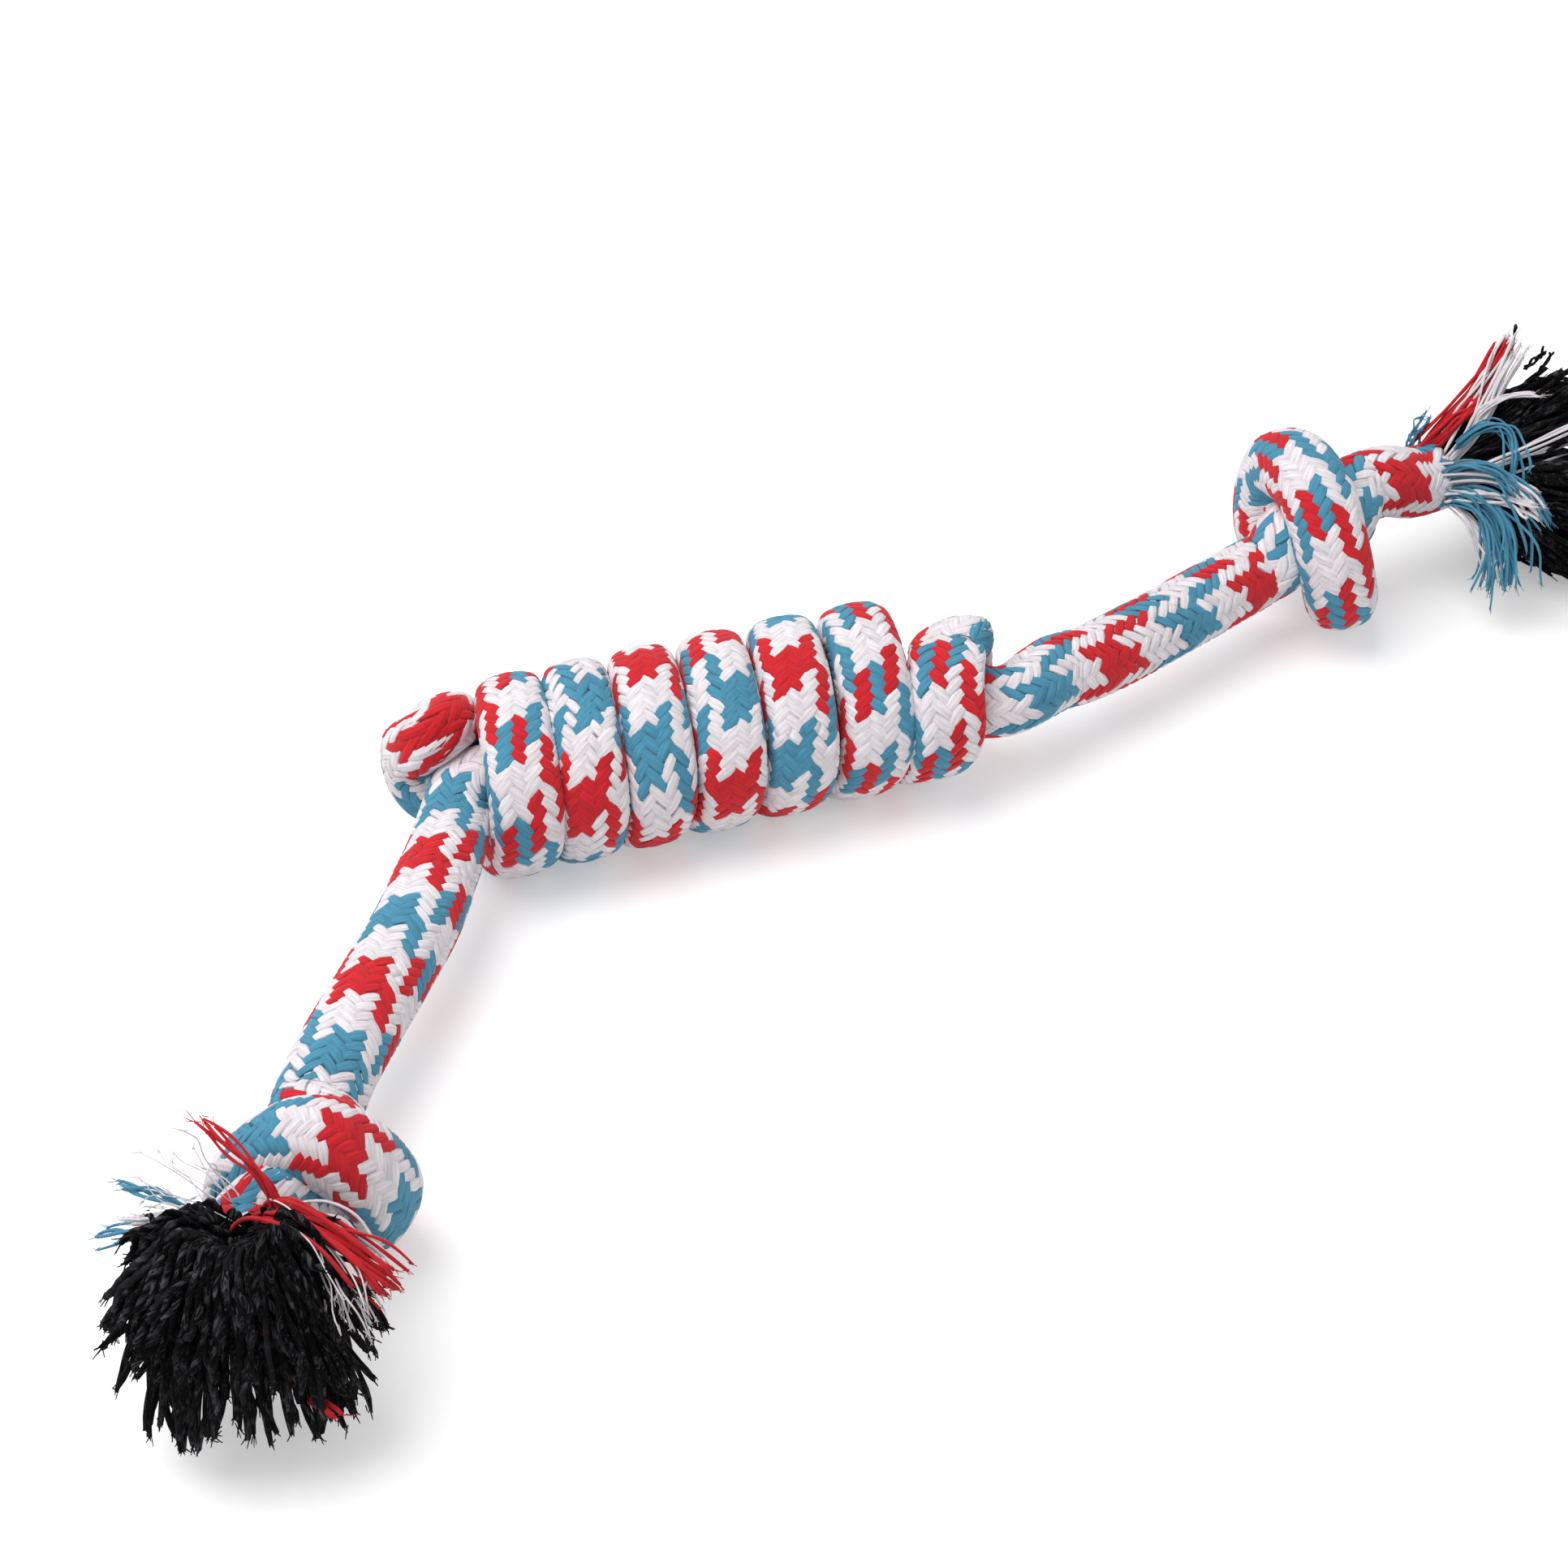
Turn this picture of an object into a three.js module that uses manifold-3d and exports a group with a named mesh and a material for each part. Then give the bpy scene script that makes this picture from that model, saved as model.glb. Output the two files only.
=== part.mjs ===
// Braided cotton rope dog toy: one rope tied into a barrel-knot handle and two end knots,
// with both ends unravelled into tassels. Millimetres, +Z up. The origin is on the floor
// under the middle turn of the handle, and +X runs along the handle towards its right end.
import * as THREE from 'three';
import Module from 'manifold-3d';
import { mergeVertices } from 'three/addons/utils/BufferGeometryUtils.js';

// Rope
const ropeDiameter = 14;
const jacketThickness = 2;
const sleeveGap = 0.3;
const seatGap = 0.3;
const pressShare = 0.1;
const pinchShare = 0.86;

// Handle, a barrel knot
const handleDiameter = 36.4;
const wrapCount = 7;
const wrapThickness = 10.6;
const wrapPitch = 13;
const wrapGap = 0.65;
const firstWrapThinning = 3.2;
const boreGap = 0.4;
const strandGap = 0.7;
const mouthAngle = 50;
const strandTwist = 165;
const firstWrapAngle = -15;
const lastWrapAngle = 290;

// End knots
const leftKnotDiameter = 38;
const rightKnotDiameter = 41;
const knotThickness = 11.2;

// Stretches between the handle, the knots and the tassels
const leftHeading = -133;
const rightHeading = -17;
const leftTailLength = 3;
const rightTailLength = 17.6;
const leftTailDrop = 0;
const rightTailDrop = 2;
const leftTailTurn = 22;
const rightTailTurn = 22;

// Tassels
const leftTasselLength = 20;
const leftTasselDiameter = 35;
const rightTasselLength = 38;
const rightTasselDiameter = 43;
const yarnSheetThickness = 1.9;
const tasselGap = 0.5;

// Counts
const ropeSides = 10;
const knotSides = 8;
const turnSides = 6;
const stepsPerTurn = 24;
const spanSteps = 6;
const tailSteps = 3;
const strandSteps = 18;
const tuftSides = 30;
const petalColumns = 8;

const coreYarnDiameter = ropeDiameter - 2 * (jacketThickness + sleeveGap);
const degree = Math.PI / 180;
const fullTurn = 360;
const wrapRadius = handleDiameter / 2 - wrapThickness / 2;
const wrapWidth = wrapPitch - wrapGap;
const facetShare = Math.cos(fullTurn / stepsPerTurn / 2 * degree);
const handleBore = (wrapRadius - wrapThickness / 2) * facetShare - boreGap;
const pressDepth = ropeDiameter * pressShare;
const handleHeight = handleDiameter / 2 - pressDepth;

const part = new THREE.Group();
const alongHandle = new THREE.Vector3(1, 0, 0);
const acrossHandle = new THREE.Vector3(0, 1, 0);
const upward = new THREE.Vector3(0, 0, 1);

function addMesh(group, name, geometry, finish) {
  const mesh = new THREE.Mesh(geometry, finish);
  mesh.name = name;
  group.add(mesh);
  return mesh;
}

function finish(color) {
  return new THREE.MeshStandardMaterial({ color, roughness: 0.9, metalness: 0 });
}

const braidFinish = finish(0xd9c9cd);
const blackFinish = finish(0x1b1b1f);
const redFinish = finish(0xd02a30);
const blueFinish = finish(0x3a9cc4);
const whiteFinish = finish(0xf0ecea);

function onAxis(along, radius, angle) {
  return new THREE.Vector3(along, -radius * Math.sin(angle * degree), radius * Math.cos(angle * degree));
}

// A station is a place on a rope with the outward direction and the size of its section there.
// Its section blends from an oval to a half round that lies against the other strand.
function sectionPoints(station, sides) {
  const points = [];
  for (let side = 0; side < sides; side += 1) {
    const angle = (side + 0.5) / sides * 2 * Math.PI;
    const oval = [station.depth * Math.cos(angle), station.width * Math.sin(angle)];
    const half = [
      Math.max(station.bore * Math.cos(angle), strandGap / 2) - station.bore / 2,
      station.bore * Math.sin(angle),
    ];
    points.push(oval.map((value, axis) => value + (half[axis] - value) * station.half));
  }
  return points;
}

function closedGeometry(positions, faces) {
  const geometry = new THREE.BufferGeometry();
  geometry.setAttribute('position', new THREE.Float32BufferAttribute(positions, 3));
  geometry.setIndex(faces);
  return geometry;
}

// Joins rings of points, each with the same count, into one closed body.
function joinRings(rings) {
  const sides = rings[0].length;
  const positions = rings.flat().flatMap((point) => [point.x, point.y, point.z]);
  const faces = [];
  for (let ring = 0; ring + 1 < rings.length; ring += 1) {
    for (let side = 0; side < sides; side += 1) {
      const a = ring * sides + side;
      const b = ring * sides + (side + 1) % sides;
      faces.push(a, b, b + sides, a, b + sides, a + sides);
    }
  }
  const last = (rings.length - 1) * sides;
  for (let side = 1; side + 1 < sides; side += 1) {
    faces.push(0, side + 1, side, last, last + side, last + side + 1);
  }
  return closedGeometry(positions, faces);
}

// The rings of a body swept through stations, pinched where the rope bends tighter than its own
// half width and pressed flat where it lies on the floor.
function sweptRings(stations, sides) {
  const count = stations.length;
  return stations.map((station, index) => {
    const before = stations[Math.max(index - 1, 0)].place;
    const after = stations[Math.min(index + 1, count - 1)].place;
    const along = station.along ?? after.clone().sub(before).normalize();
    const tilt = station.outward.dot(along);
    const outward = station.outward.clone().addScaledVector(along, -tilt).normalize();
    const across = along.clone().cross(outward);
    const bend = before.clone().add(after).addScaledVector(station.place, -2);
    const inside = bend.clone().normalize();
    const step = after.distanceTo(before) / 2;
    const isEnd = index === 0 || index === count - 1;
    const limit = isEnd ? Infinity : pinchShare * step * step / bend.length();
    return sectionPoints(station, sides).map(([out, side]) => {
      const offset = outward.clone().multiplyScalar(out).addScaledVector(across, side);
      const excess = offset.dot(inside) - limit;
      if (excess > 0) offset.addScaledVector(inside, -excess);
      const point = station.place.clone().add(offset);
      point.y *= 1 - (station.squeeze ?? 0);
      point.z = Math.max(point.z, 0);
      return point;
    });
  });
}

function sweep(stations, sides) {
  return joinRings(sweptRings(stations, sides));
}

const wasm = await Module();
wasm.setup();

function solid(geometry) {
  geometry.deleteAttribute('normal');
  geometry.deleteAttribute('uv');
  const merged = mergeVertices(geometry);
  return new wasm.Manifold(new wasm.Mesh({
    numProp: 3,
    vertProperties: merged.attributes.position.array,
    triVerts: new Uint32Array(merged.index.array),
  }));
}

// A knot is pulled tight, so the two halves of its strand are joined where they press together.
function knotGeometry(stations, sides) {
  const rings = sweptRings(stations, sides);
  const middle = Math.floor(rings.length / 2);
  const first = solid(joinRings(rings.slice(0, middle + 1)));
  const second = solid(joinRings(rings.slice(middle)));
  const mesh = first.add(second).getMesh();
  return closedGeometry(Array.from(mesh.vertProperties), Array.from(mesh.triVerts));
}

// A key is a row of: distance along the knot's axis, distance from the axis, angle round it
// from the top, half depth and half width of the section, and how far it is pressed to a half
// round. The angle is also the outward direction.
function keyStation([along, radius, angle, depth, width, half], hand, height, bore) {
  const place = onAxis(along, radius, angle * hand);
  place.z += height;
  return { place, outward: onAxis(0, 1, angle * hand), depth, width, half, bore };
}

// Rows of a bend, in rope diameters, counted from the place and angle where a strand runs in
// the middle of its knot. side is 1 at the far end and -1 at the near end of the knot.
function bendKeys(shares, end, side, angle, offset) {
  return shares.map(([along, radius, turn, depth, width, half]) => [
    end + side * along * ropeDiameter,
    offset + radius * ropeDiameter,
    angle + turn,
    depth * ropeDiameter,
    width * ropeDiameter,
    half,
  ]);
}

const startBendShares = [
  [-1.37, 0.00, 0, 0.25, 0.40, 1.0],
  [-1.00, 0.00, 0, 0.25, 0.40, 1.0],
  [-0.60, 0.00, 0, 0.25, 0.40, 1.0],
  [-0.37, 0.00, 0, 0.28, 0.38, 1.0],
  [-0.15, 0.05, 4, 0.29, 0.37, 0.7],
  [0.01, 0.12, 16, 0.30, 0.37, 0.4],
  [0.10, 0.18, 36, 0.34, 0.37, 0.1],
  [0.13, 0.30, 55, 0.36, 0.38, 0],
  [0.11, 0.46, 72, 0.34, 0.39, 0],
  [0.05, 0.59, 89, 0.31, 0.41, 0],
];
const endBendShares = [
  [0.07, 0.62, 76, 0.37, 0.42, 0],
  [0.18, 0.57, 94, 0.37, 0.40, 0],
  [0.34, 0.50, 104, 0.37, 0.38, 0],
  [0.48, 0.42, 98, 0.38, 0.37, 0],
  [0.57, 0.36, 80, 0.38, 0.37, 0],
  [0.59, 0.28, 56, 0.37, 0.37, 0],
  [0.55, 0.19, 34, 0.36, 0.36, 0.1],
  [0.42, 0.10, 16, 0.34, 0.36, 0.3],
  [0.20, 0.03, 5, 0.30, 0.38, 0.7],
  [-0.05, 0.00, 0, 0.26, 0.40, 1.0],
  [-0.40, 0.00, 0, 0.25, 0.40, 1.0],
  [-0.80, 0.00, 0, 0.25, 0.40, 1.0],
  [-1.05, 0.00, 0, 0.25, 0.40, 1.0],
];

const lastTurns = fullTurn * (wrapCount - 1);
const middleAngle = fullTurn / 2 + lastTurns / 2;
const wrapPlace = (angle) => (middleAngle - angle) / fullTurn * wrapPitch;
const rightBend = wrapPlace(firstWrapAngle);
const leftBend = wrapPlace(lastWrapAngle + lastTurns);

// The winding: straight start in the bore, bend, seven turns, end loop, straight end in the bore.
function windingKeys() {
  const keys = bendKeys(startBendShares, rightBend, 1, mouthAngle - strandTwist, handleBore / 2);
  const stepAngle = fullTurn / stepsPerTurn;
  for (let angle = firstWrapAngle; angle <= lastWrapAngle + lastTurns; angle += stepAngle) {
    const thinning = firstWrapThinning / 2 * Math.max(1 - (angle - firstWrapAngle) / fullTurn, 0);
    const depth = wrapThickness / 2 - thinning;
    keys.push([wrapPlace(angle), wrapRadius - thinning, angle, depth, wrapWidth / 2, 0]);
  }
  const endAngle = mouthAngle + fullTurn / 2 + lastTurns;
  keys.push(...bendKeys(endBendShares, leftBend, -1, endAngle, handleBore / 2));
  return keys;
}

const windingStations = windingKeys().map((key) => keyStation(key, 1, handleHeight, handleBore));
windingStations[0].along = alongHandle;
windingStations.at(-1).along = alongHandle;
const handleWinding = addMesh(part, 'handle_winding', sweep(windingStations, turnSides), braidFinish);

// The two strands that pass through the bore lie against each other and twist half a turn.
const twistShares = [0.17, 0.78];

function strandAngle(along) {
  const share = (along - leftBend) / (rightBend - leftBend);
  const turned = (share - twistShares[0]) / (twistShares[1] - twistShares[0]);
  return mouthAngle - strandTwist * THREE.MathUtils.clamp(turned, 0, 1);
}

// Both strands share one row of stations, so that their flat sides match all the way.
const strandStep = (rightBend - leftBend) / strandSteps;

function boreStations(from, to, turn) {
  const places = [from];
  for (let step = 1; step < strandSteps; step += 1) {
    const along = leftBend + step * strandStep;
    if (along > from + strandStep / 2 && along < to - strandStep / 2) places.push(along);
  }
  places.push(to);
  return places.map((along) => {
    const key = [along, handleBore / 2, strandAngle(along) + turn, handleBore / 2, handleBore, 1];
    return { ...keyStation(key, 1, handleHeight, handleBore), along: alongHandle };
  });
}

// Mouth rows: place beside the bore's mouth in rope diameters, outward angle, half depth and
// half width in rope diameters, and how far pressed to a half round.
function mouthStations(shares, end) {
  return shares.map(([x, y, z, angle, depth, width, half]) => ({
    place: new THREE.Vector3(end + x * ropeDiameter, y * ropeDiameter, handleHeight + z * ropeDiameter),
    outward: onAxis(0, 1, angle),
    depth: depth * ropeDiameter,
    width: width * ropeDiameter,
    half,
    bore: handleBore,
  }));
}

const leftMouthShares = [
  [-0.80, -1.45, -0.06, 0, 0.48, 0.48, 0],
  [-0.58, -1.08, -0.02, 6, 0.47, 0.47, 0],
  [-0.42, -0.74, 0.04, 20, 0.43, 0.44, 0.1],
  [-0.24, -0.45, 0.12, 36, 0.36, 0.40, 0.4],
  [-0.06, -0.26, 0.17, 48, 0.30, 0.40, 0.8],
];
const mouthReachShare = 0.12;
const rightMouthShares = [
  [0.05, -0.23, 0.10, 62, 0.30, 0.40, 0.9],
  [0.30, -0.28, 0.09, 50, 0.36, 0.42, 0.5],
  [0.60, -0.30, 0.06, 28, 0.44, 0.45, 0.1],
  [1.00, -0.27, 0.02, 8, 0.48, 0.48, 0],
  [1.30, -0.20, -0.02, 0, 0.49, 0.49, 0],
];

const entryEnd = rightBend + startBendShares[0][0] * ropeDiameter - seatGap;
const entryStations = [
  ...mouthStations(leftMouthShares, leftBend),
  ...boreStations(leftBend + mouthReachShare * ropeDiameter, entryEnd, 0),
];
addMesh(part, 'handle_entry_strand', sweep(entryStations, ropeSides), braidFinish);

const exitStart = leftBend - endBendShares.at(-1)[0] * ropeDiameter + seatGap;
const exitStations = [
  ...boreStations(exitStart, rightBend - mouthReachShare * ropeDiameter, fullTurn / 2),
  ...mouthStations(rightMouthShares, rightBend),
];
addMesh(part, 'handle_exit_strand', sweep(exitStations, ropeSides), braidFinish);

// An end knot is one overhand turn. Half of it is given and the other half is the same, turned
// end for end. Rows: distance along the axis in rope diameters, distance from the axis as a
// share of the turn's radius, angle, half depth, half width and press of the section.
const knotShares = [
  [-1.38, 0.00, 34, 0.49, 0.49, 0],
  [-1.22, 0.05, 34, 0.48, 0.49, 0],
  [-1.00, 0.17, 32, 0.46, 0.48, 0],
  [-0.77, 0.29, 26, 0.42, 0.47, 0.2],
  [-0.52, 0.34, 12, 0.36, 0.46, 0.5],
  [-0.28, 0.31, -12, 0.30, 0.46, 0.8],
  [-0.06, 0.29, -42, 0.28, 0.46, 0.9],
  [0.16, 0.30, -74, 0.30, 0.44, 0.8],
  [0.38, 0.34, -100, 0.34, 0.42, 0.5],
  [0.57, 0.42, -117, 0.37, 0.40, 0.2],
  [0.70, 0.54, -122, 0.39, 0.40, 0],
  [0.77, 0.68, -116, 0.40, 0.41, 0],
  [0.77, 0.80, -102, 0.40, 0.42, 0],
  [0.73, 0.90, -84, 0.40, 0.43, 0],
  [0.66, 0.96, -65, 0.40, 0.44, 0],
  [0.56, 1.00, -46, 0.40, 0.44, 0],
  [0.44, 1.00, -29, 0.40, 0.44, 0],
  [0.32, 1.00, -13, 0.40, 0.44, 0],
  [0.20, 1.00, 3, 0.40, 0.44, 0],
  [0.08, 1.00, 19, 0.40, 0.44, 0],
  [0.00, 1.00, 34, 0.40, 0.44, 0],
];
const knotMiddleAngle = knotShares.at(-1)[2];

// A knot's own frame has its axis along +X, away from the handle, and the floor at z = 0.
// Its ends, first the one towards the handle, run in beside the axis by leanShares rope
// diameters, over it by liftShares, and turned by turns degrees. squeezeShare narrows the knot
// between its ends.
const leanFromShare = 0.45;
const leanToShare = 1.1;
const squeezeFromShare = 0.9;
const squeezeToShare = 1.25;
const straightFromShare = 1;

function knotStations(knot) {
  const radius = knot.diameter / 2 - knotThickness / 2;
  const bore = (radius - knotThickness / 2) * facetShare - boreGap;
  const turned = knotShares.slice(knot.rowsCut, -1).reverse().map(([along, out, angle, ...size]) => (
    [-along, out, 2 * knotMiddleAngle - angle, ...size]
  ));
  const stations = [...knotShares, ...turned].map(([along, out, angle, depth, width, half]) => {
    const station = keyStation([
      along * knot.lengthShare * ropeDiameter,
      out * radius,
      angle + knot.roll,
      depth * ropeDiameter,
      width * ropeDiameter,
      half,
    ], -1, 0, bore);
    const reach = Math.abs(along);
    const lean = THREE.MathUtils.smoothstep(reach, leanFromShare, leanToShare);
    const end = along < 0 ? 0 : 1;
    const beyond = Math.sign(along) * Math.max(reach - leanToShare, 0) * knot.lengthShare;
    const turned = beyond * Math.tan(knot.turns[end] * degree);
    station.place.y += (lean * knot.leanShares[end] + turned) * ropeDiameter;
    station.place.z += lean * knot.liftShares[end] * ropeDiameter;
    const loose = THREE.MathUtils.smoothstep(reach, squeezeFromShare, squeezeToShare);
    station.squeeze = knot.squeezeShare * (1 - loose);
    if (reach >= straightFromShare) {
      station.along = alongHandle.clone().applyAxisAngle(upward, knot.turns[end] * degree);
    }
    return station;
  });
  for (const station of stations) {
    station.place.applyAxisAngle(acrossHandle, -knot.pitch * degree);
    station.outward.applyAxisAngle(acrossHandle, -knot.pitch * degree);
    station.along?.applyAxisAngle(acrossHandle, -knot.pitch * degree);
    station.place.z += knot.diameter / 2 - pressDepth;
  }
  return stations;
}

const leftKnot = {
  diameter: leftKnotDiameter,
  roll: 0,
  pitch: 0,
  lengthShare: 0.72,
  squeezeShare: 0.36,
  leanShares: [-0.66, -0.1],
  liftShares: [-0.2, 0.5],
  turns: [16, 22],
  rowsCut: 0,
};
const rightKnot = {
  diameter: rightKnotDiameter,
  roll: -84,
  pitch: 2,
  lengthShare: 0.62,
  squeezeShare: 0,
  leanShares: [-0.5, 0.5],
  liftShares: [-0.2, 0.3],
  turns: [37, 22],
  rowsCut: 1,
};
const leftKnotPlaceShares = [-6.0, -5.7];
const rightKnotPlaceShares = [9.14, 1.35];

function endGroup([x, y], heading) {
  const group = new THREE.Group();
  group.position.set(x * ropeDiameter, y * ropeDiameter, 0);
  group.rotation.z = heading * degree;
  group.updateMatrix();
  part.add(group);
  return group;
}
const leftEnd = endGroup(leftKnotPlaceShares, leftHeading);
const rightEnd = endGroup(rightKnotPlaceShares, rightHeading);

const leftKnotStations = knotStations(leftKnot);
const rightKnotStations = knotStations(rightKnot);
addMesh(leftEnd, 'left_knot', knotGeometry(leftKnotStations, knotSides), braidFinish);
addMesh(rightEnd, 'right_knot', knotGeometry(rightKnotStations, knotSides), braidFinish);

// A free stretch is a jacket with a core inside it, both along one curve.
function polygon(radius, sides) {
  const points = [];
  for (let side = 0; side < sides; side += 1) {
    const angle = side / sides * 2 * Math.PI;
    points.push(new THREE.Vector2(radius * Math.cos(angle), radius * Math.sin(angle)));
  }
  return points;
}

function addStretch(group, name, points, steps) {
  const curve = new THREE.CatmullRomCurve3(points, false, 'centripetal');
  const options = { steps, extrudePath: curve, bevelEnabled: false };
  const jacket = new THREE.Shape(polygon(ropeDiameter / 2, ropeSides));
  jacket.holes.push(new THREE.Path(polygon(coreYarnDiameter / 2 + sleeveGap, ropeSides)));
  addMesh(group, `${name}_jacket`, new THREE.ExtrudeGeometry(jacket, options), braidFinish);
  const core = new THREE.Shape(polygon(coreYarnDiameter / 2, ropeSides));
  addMesh(group, `${name}_core`, new THREE.ExtrudeGeometry(core, options), blackFinish);
}

// Where a stretch meets a swept solid: just off its end face, with a second point straight on.
const straightShare = 0.6;

function offFace(station, neighbour, matrix) {
  const face = station.place.clone().applyMatrix4(matrix);
  const away = face.clone().sub(neighbour.place.clone().applyMatrix4(matrix)).normalize();
  if (station.along) {
    away.copy(station.along).transformDirection(matrix);
    const back = neighbour.place.clone().applyMatrix4(matrix).sub(face);
    if (back.dot(away) > 0) away.negate();
  }
  const reaches = [seatGap, ropeDiameter * straightShare];
  return reaches.map((reach) => face.clone().addScaledVector(away, reach));
}

const still = new THREE.Matrix4();
const leftSpanPoints = [
  ...offFace(entryStations[0], entryStations[1], still),
  ...offFace(leftKnotStations[0], leftKnotStations[1], leftEnd.matrix).reverse(),
];
addStretch(part, 'left_span', leftSpanPoints, spanSteps);
const rightSpanPoints = [
  ...offFace(exitStations.at(-1), exitStations.at(-2), still),
  ...offFace(rightKnotStations[0], rightKnotStations[1], rightEnd.matrix).reverse(),
];
addStretch(part, 'right_span', rightSpanPoints, spanSteps);


const tailStraightShare = 0.3;

// Each tail runs from its knot to the throat of its tassel, turned from the knot's axis, and
// its tassel goes on the same way.
function addTail(end, name, stations, { length, drop, turn }) {
  const [start, straight] = offFace(stations.at(-1), stations.at(-2), still);
  const onward = alongHandle.clone().applyAxisAngle(upward, turn * degree);
  const throat = start.clone().addScaledVector(onward, length).addScaledVector(upward, -drop);
  const before = throat.clone().addScaledVector(onward, -length * tailStraightShare);
  const straightReach = length * tailStraightShare / (ropeDiameter * straightShare);
  straight.lerpVectors(start, straight, Math.min(straightReach, 1));
  addStretch(end, name, [start, straight, before, throat], tailSteps);
  const group = new THREE.Group();
  group.position.copy(throat);
  group.rotation.z = turn * degree;
  end.add(group);
  return group;
}
const leftTail = { length: leftTailLength, drop: leftTailDrop, turn: leftTailTurn };
const rightTail = { length: rightTailLength, drop: rightTailDrop, turn: rightTailTurn };
const leftTassel = addTail(leftEnd, 'left_tail', leftKnotStations, leftTail);
const rightTassel = addTail(rightEnd, 'right_tail', rightKnotStations, rightTail);

// A tassel's own frame has its throat at the origin and its axis along +X. Its outline rows are
// shares of its length and of its half diameter.
const tuftShares = [
  [0.02, 0.24],
  [0.08, 0.34],
  [0.16, 0.58],
  [0.26, 0.78],
  [0.38, 0.92],
  [0.52, 1.00],
  [0.68, 0.98],
  [0.82, 0.84],
  [0.93, 0.60],
  [1.00, 0.28],
];
const fluteShare = 0.05;
const fluteCount = 10;

function tuftPoint([x, r], angle, tassel, offset) {
  const flute = 1 + fluteShare * r * Math.cos(fluteCount * angle * degree);
  const radius = r * tassel.diameter / 2 * (offset > 0 ? 1 + fluteShare * r : flute) + offset;
  const share = x ** tassel.bloom;
  const along = seatGap + share * tassel.length;
  const sag = (tassel.tiltShare + tassel.droopShare * share) * share * tassel.length;
  const height = radius * Math.sin(angle * degree) - sag;
  const floor = -tassel.group.position.z;
  const sideways = radius * Math.cos(angle * degree) - tassel.swayShare * share * tassel.length;
  return new THREE.Vector3(along, sideways, Math.max(height, floor));
}

function addTuft(group, name, tassel) {
  const rings = tuftShares.map((row) => {
    const ring = [];
    for (let side = 0; side < tuftSides; side += 1) {
      ring.push(tuftPoint(row, side / tuftSides * fullTurn, tassel, 0));
    }
    return ring;
  });
  addMesh(group, name, joinRings(rings), blackFinish);
}

// A petal is a sheet of coloured yarn over one sector of the black tuft.
function addPetal(group, name, tassel, from, to, rows, finish) {
  const outer = [];
  const inner = [];
  for (const row of tuftShares.slice(0, rows)) {
    for (let column = 0; column <= petalColumns; column += 1) {
      const angle = from + (to - from) * column / petalColumns;
      inner.push(tuftPoint(row, angle, tassel, tasselGap));
      outer.push(tuftPoint(row, angle, tassel, tasselGap + yarnSheetThickness));
    }
  }
  const positions = [...outer, ...inner].flatMap((point) => [point.x, point.y, point.z]);
  const columns = petalColumns + 1;
  const under = outer.length;
  const faces = [];
  const quad = (a, b, c, d) => faces.push(a, c, b, a, d, c);
  for (let row = 0; row + 1 < rows; row += 1) {
    for (let column = 0; column < petalColumns; column += 1) {
      const a = row * columns + column;
      quad(a, a + columns, a + columns + 1, a + 1);
      quad(under + a, under + a + 1, under + a + columns + 1, under + a + columns);
    }
    const first = row * columns;
    const last = first + petalColumns;
    quad(first, under + first, under + first + columns, first + columns);
    quad(last, last + columns, under + last + columns, under + last);
  }
  for (let column = 0; column < petalColumns; column += 1) {
    const tip = (rows - 1) * columns + column;
    quad(column, column + 1, under + column + 1, under + column);
    quad(tip, under + tip, under + tip + 1, tip + 1);
  }
  addMesh(group, name, closedGeometry(positions, faces), finish);
}

function addTassel(name, tassel) {
  addTuft(tassel.group, `${name}_black`, tassel);
  for (const [petal, from, to, rows, finish] of tassel.petals) {
    addPetal(tassel.group, `${name}_${petal}`, tassel, from, to, rows, finish);
  }
}

addTassel('left_tassel', {
  group: leftTassel,
  length: leftTasselLength,
  diameter: leftTasselDiameter,
  bloom: 1.3,
  tiltShare: 0.45,
  droopShare: 0.1,
  swayShare: 0,
  petals: [
    ['red', 20, 95, 6, redFinish],
    ['white', 105, 150, 5, whiteFinish],
    ['blue', 160, 200, 5, blueFinish],
  ],
});
addTassel('right_tassel', {
  group: rightTassel,
  length: rightTasselLength,
  diameter: rightTasselDiameter,
  bloom: 0.62,
  tiltShare: 0,
  droopShare: 0.2,
  swayShare: 0.22,
  petals: [
    ['red', 55, 100, 6, redFinish],
    ['white', 110, 170, 6, whiteFinish],
    ['blue', 180, 215, 5, blueFinish],
  ],
});

// The least distance from the points of a swept body to its own faces, apart from the faces
// within the given number of rings along it.
function leastGap(mesh, sides, ringsApart) {
  const position = mesh.geometry.attributes.position;
  const index = mesh.geometry.index.array;
  const corners = [];
  for (let corner = 0; corner < position.count; corner += 1) {
    corners.push(new THREE.Vector3().fromBufferAttribute(position, corner));
  }
  const triangle = new THREE.Triangle();
  const nearest = new THREE.Vector3();
  let least = Infinity;
  for (let face = 0; face < index.length; face += 3) {
    const [a, b, c] = [index[face], index[face + 1], index[face + 2]];
    triangle.set(corners[a], corners[b], corners[c]);
    const ring = Math.floor(Math.min(a, b, c) / sides);
    corners.forEach((corner, number) => {
      if (Math.abs(Math.floor(number / sides) - ring) <= ringsApart) return;
      triangle.closestPointToPoint(corner, nearest);
      least = Math.min(least, nearest.distanceTo(corner));
    });
  }
  return least;
}

const gapOfHandle = leastGap(handleWinding, turnSides, stepsPerTurn / 2);
console.log(`Least gap of the winding to itself: ${gapOfHandle.toFixed(2)} mm`);

export default part;
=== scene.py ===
# Rope dog toy in braided cotton: one rope tied into a barrel-knot handle and two end knots,
# with both ends unravelled into tassels. Metres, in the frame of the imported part.
import math

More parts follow.
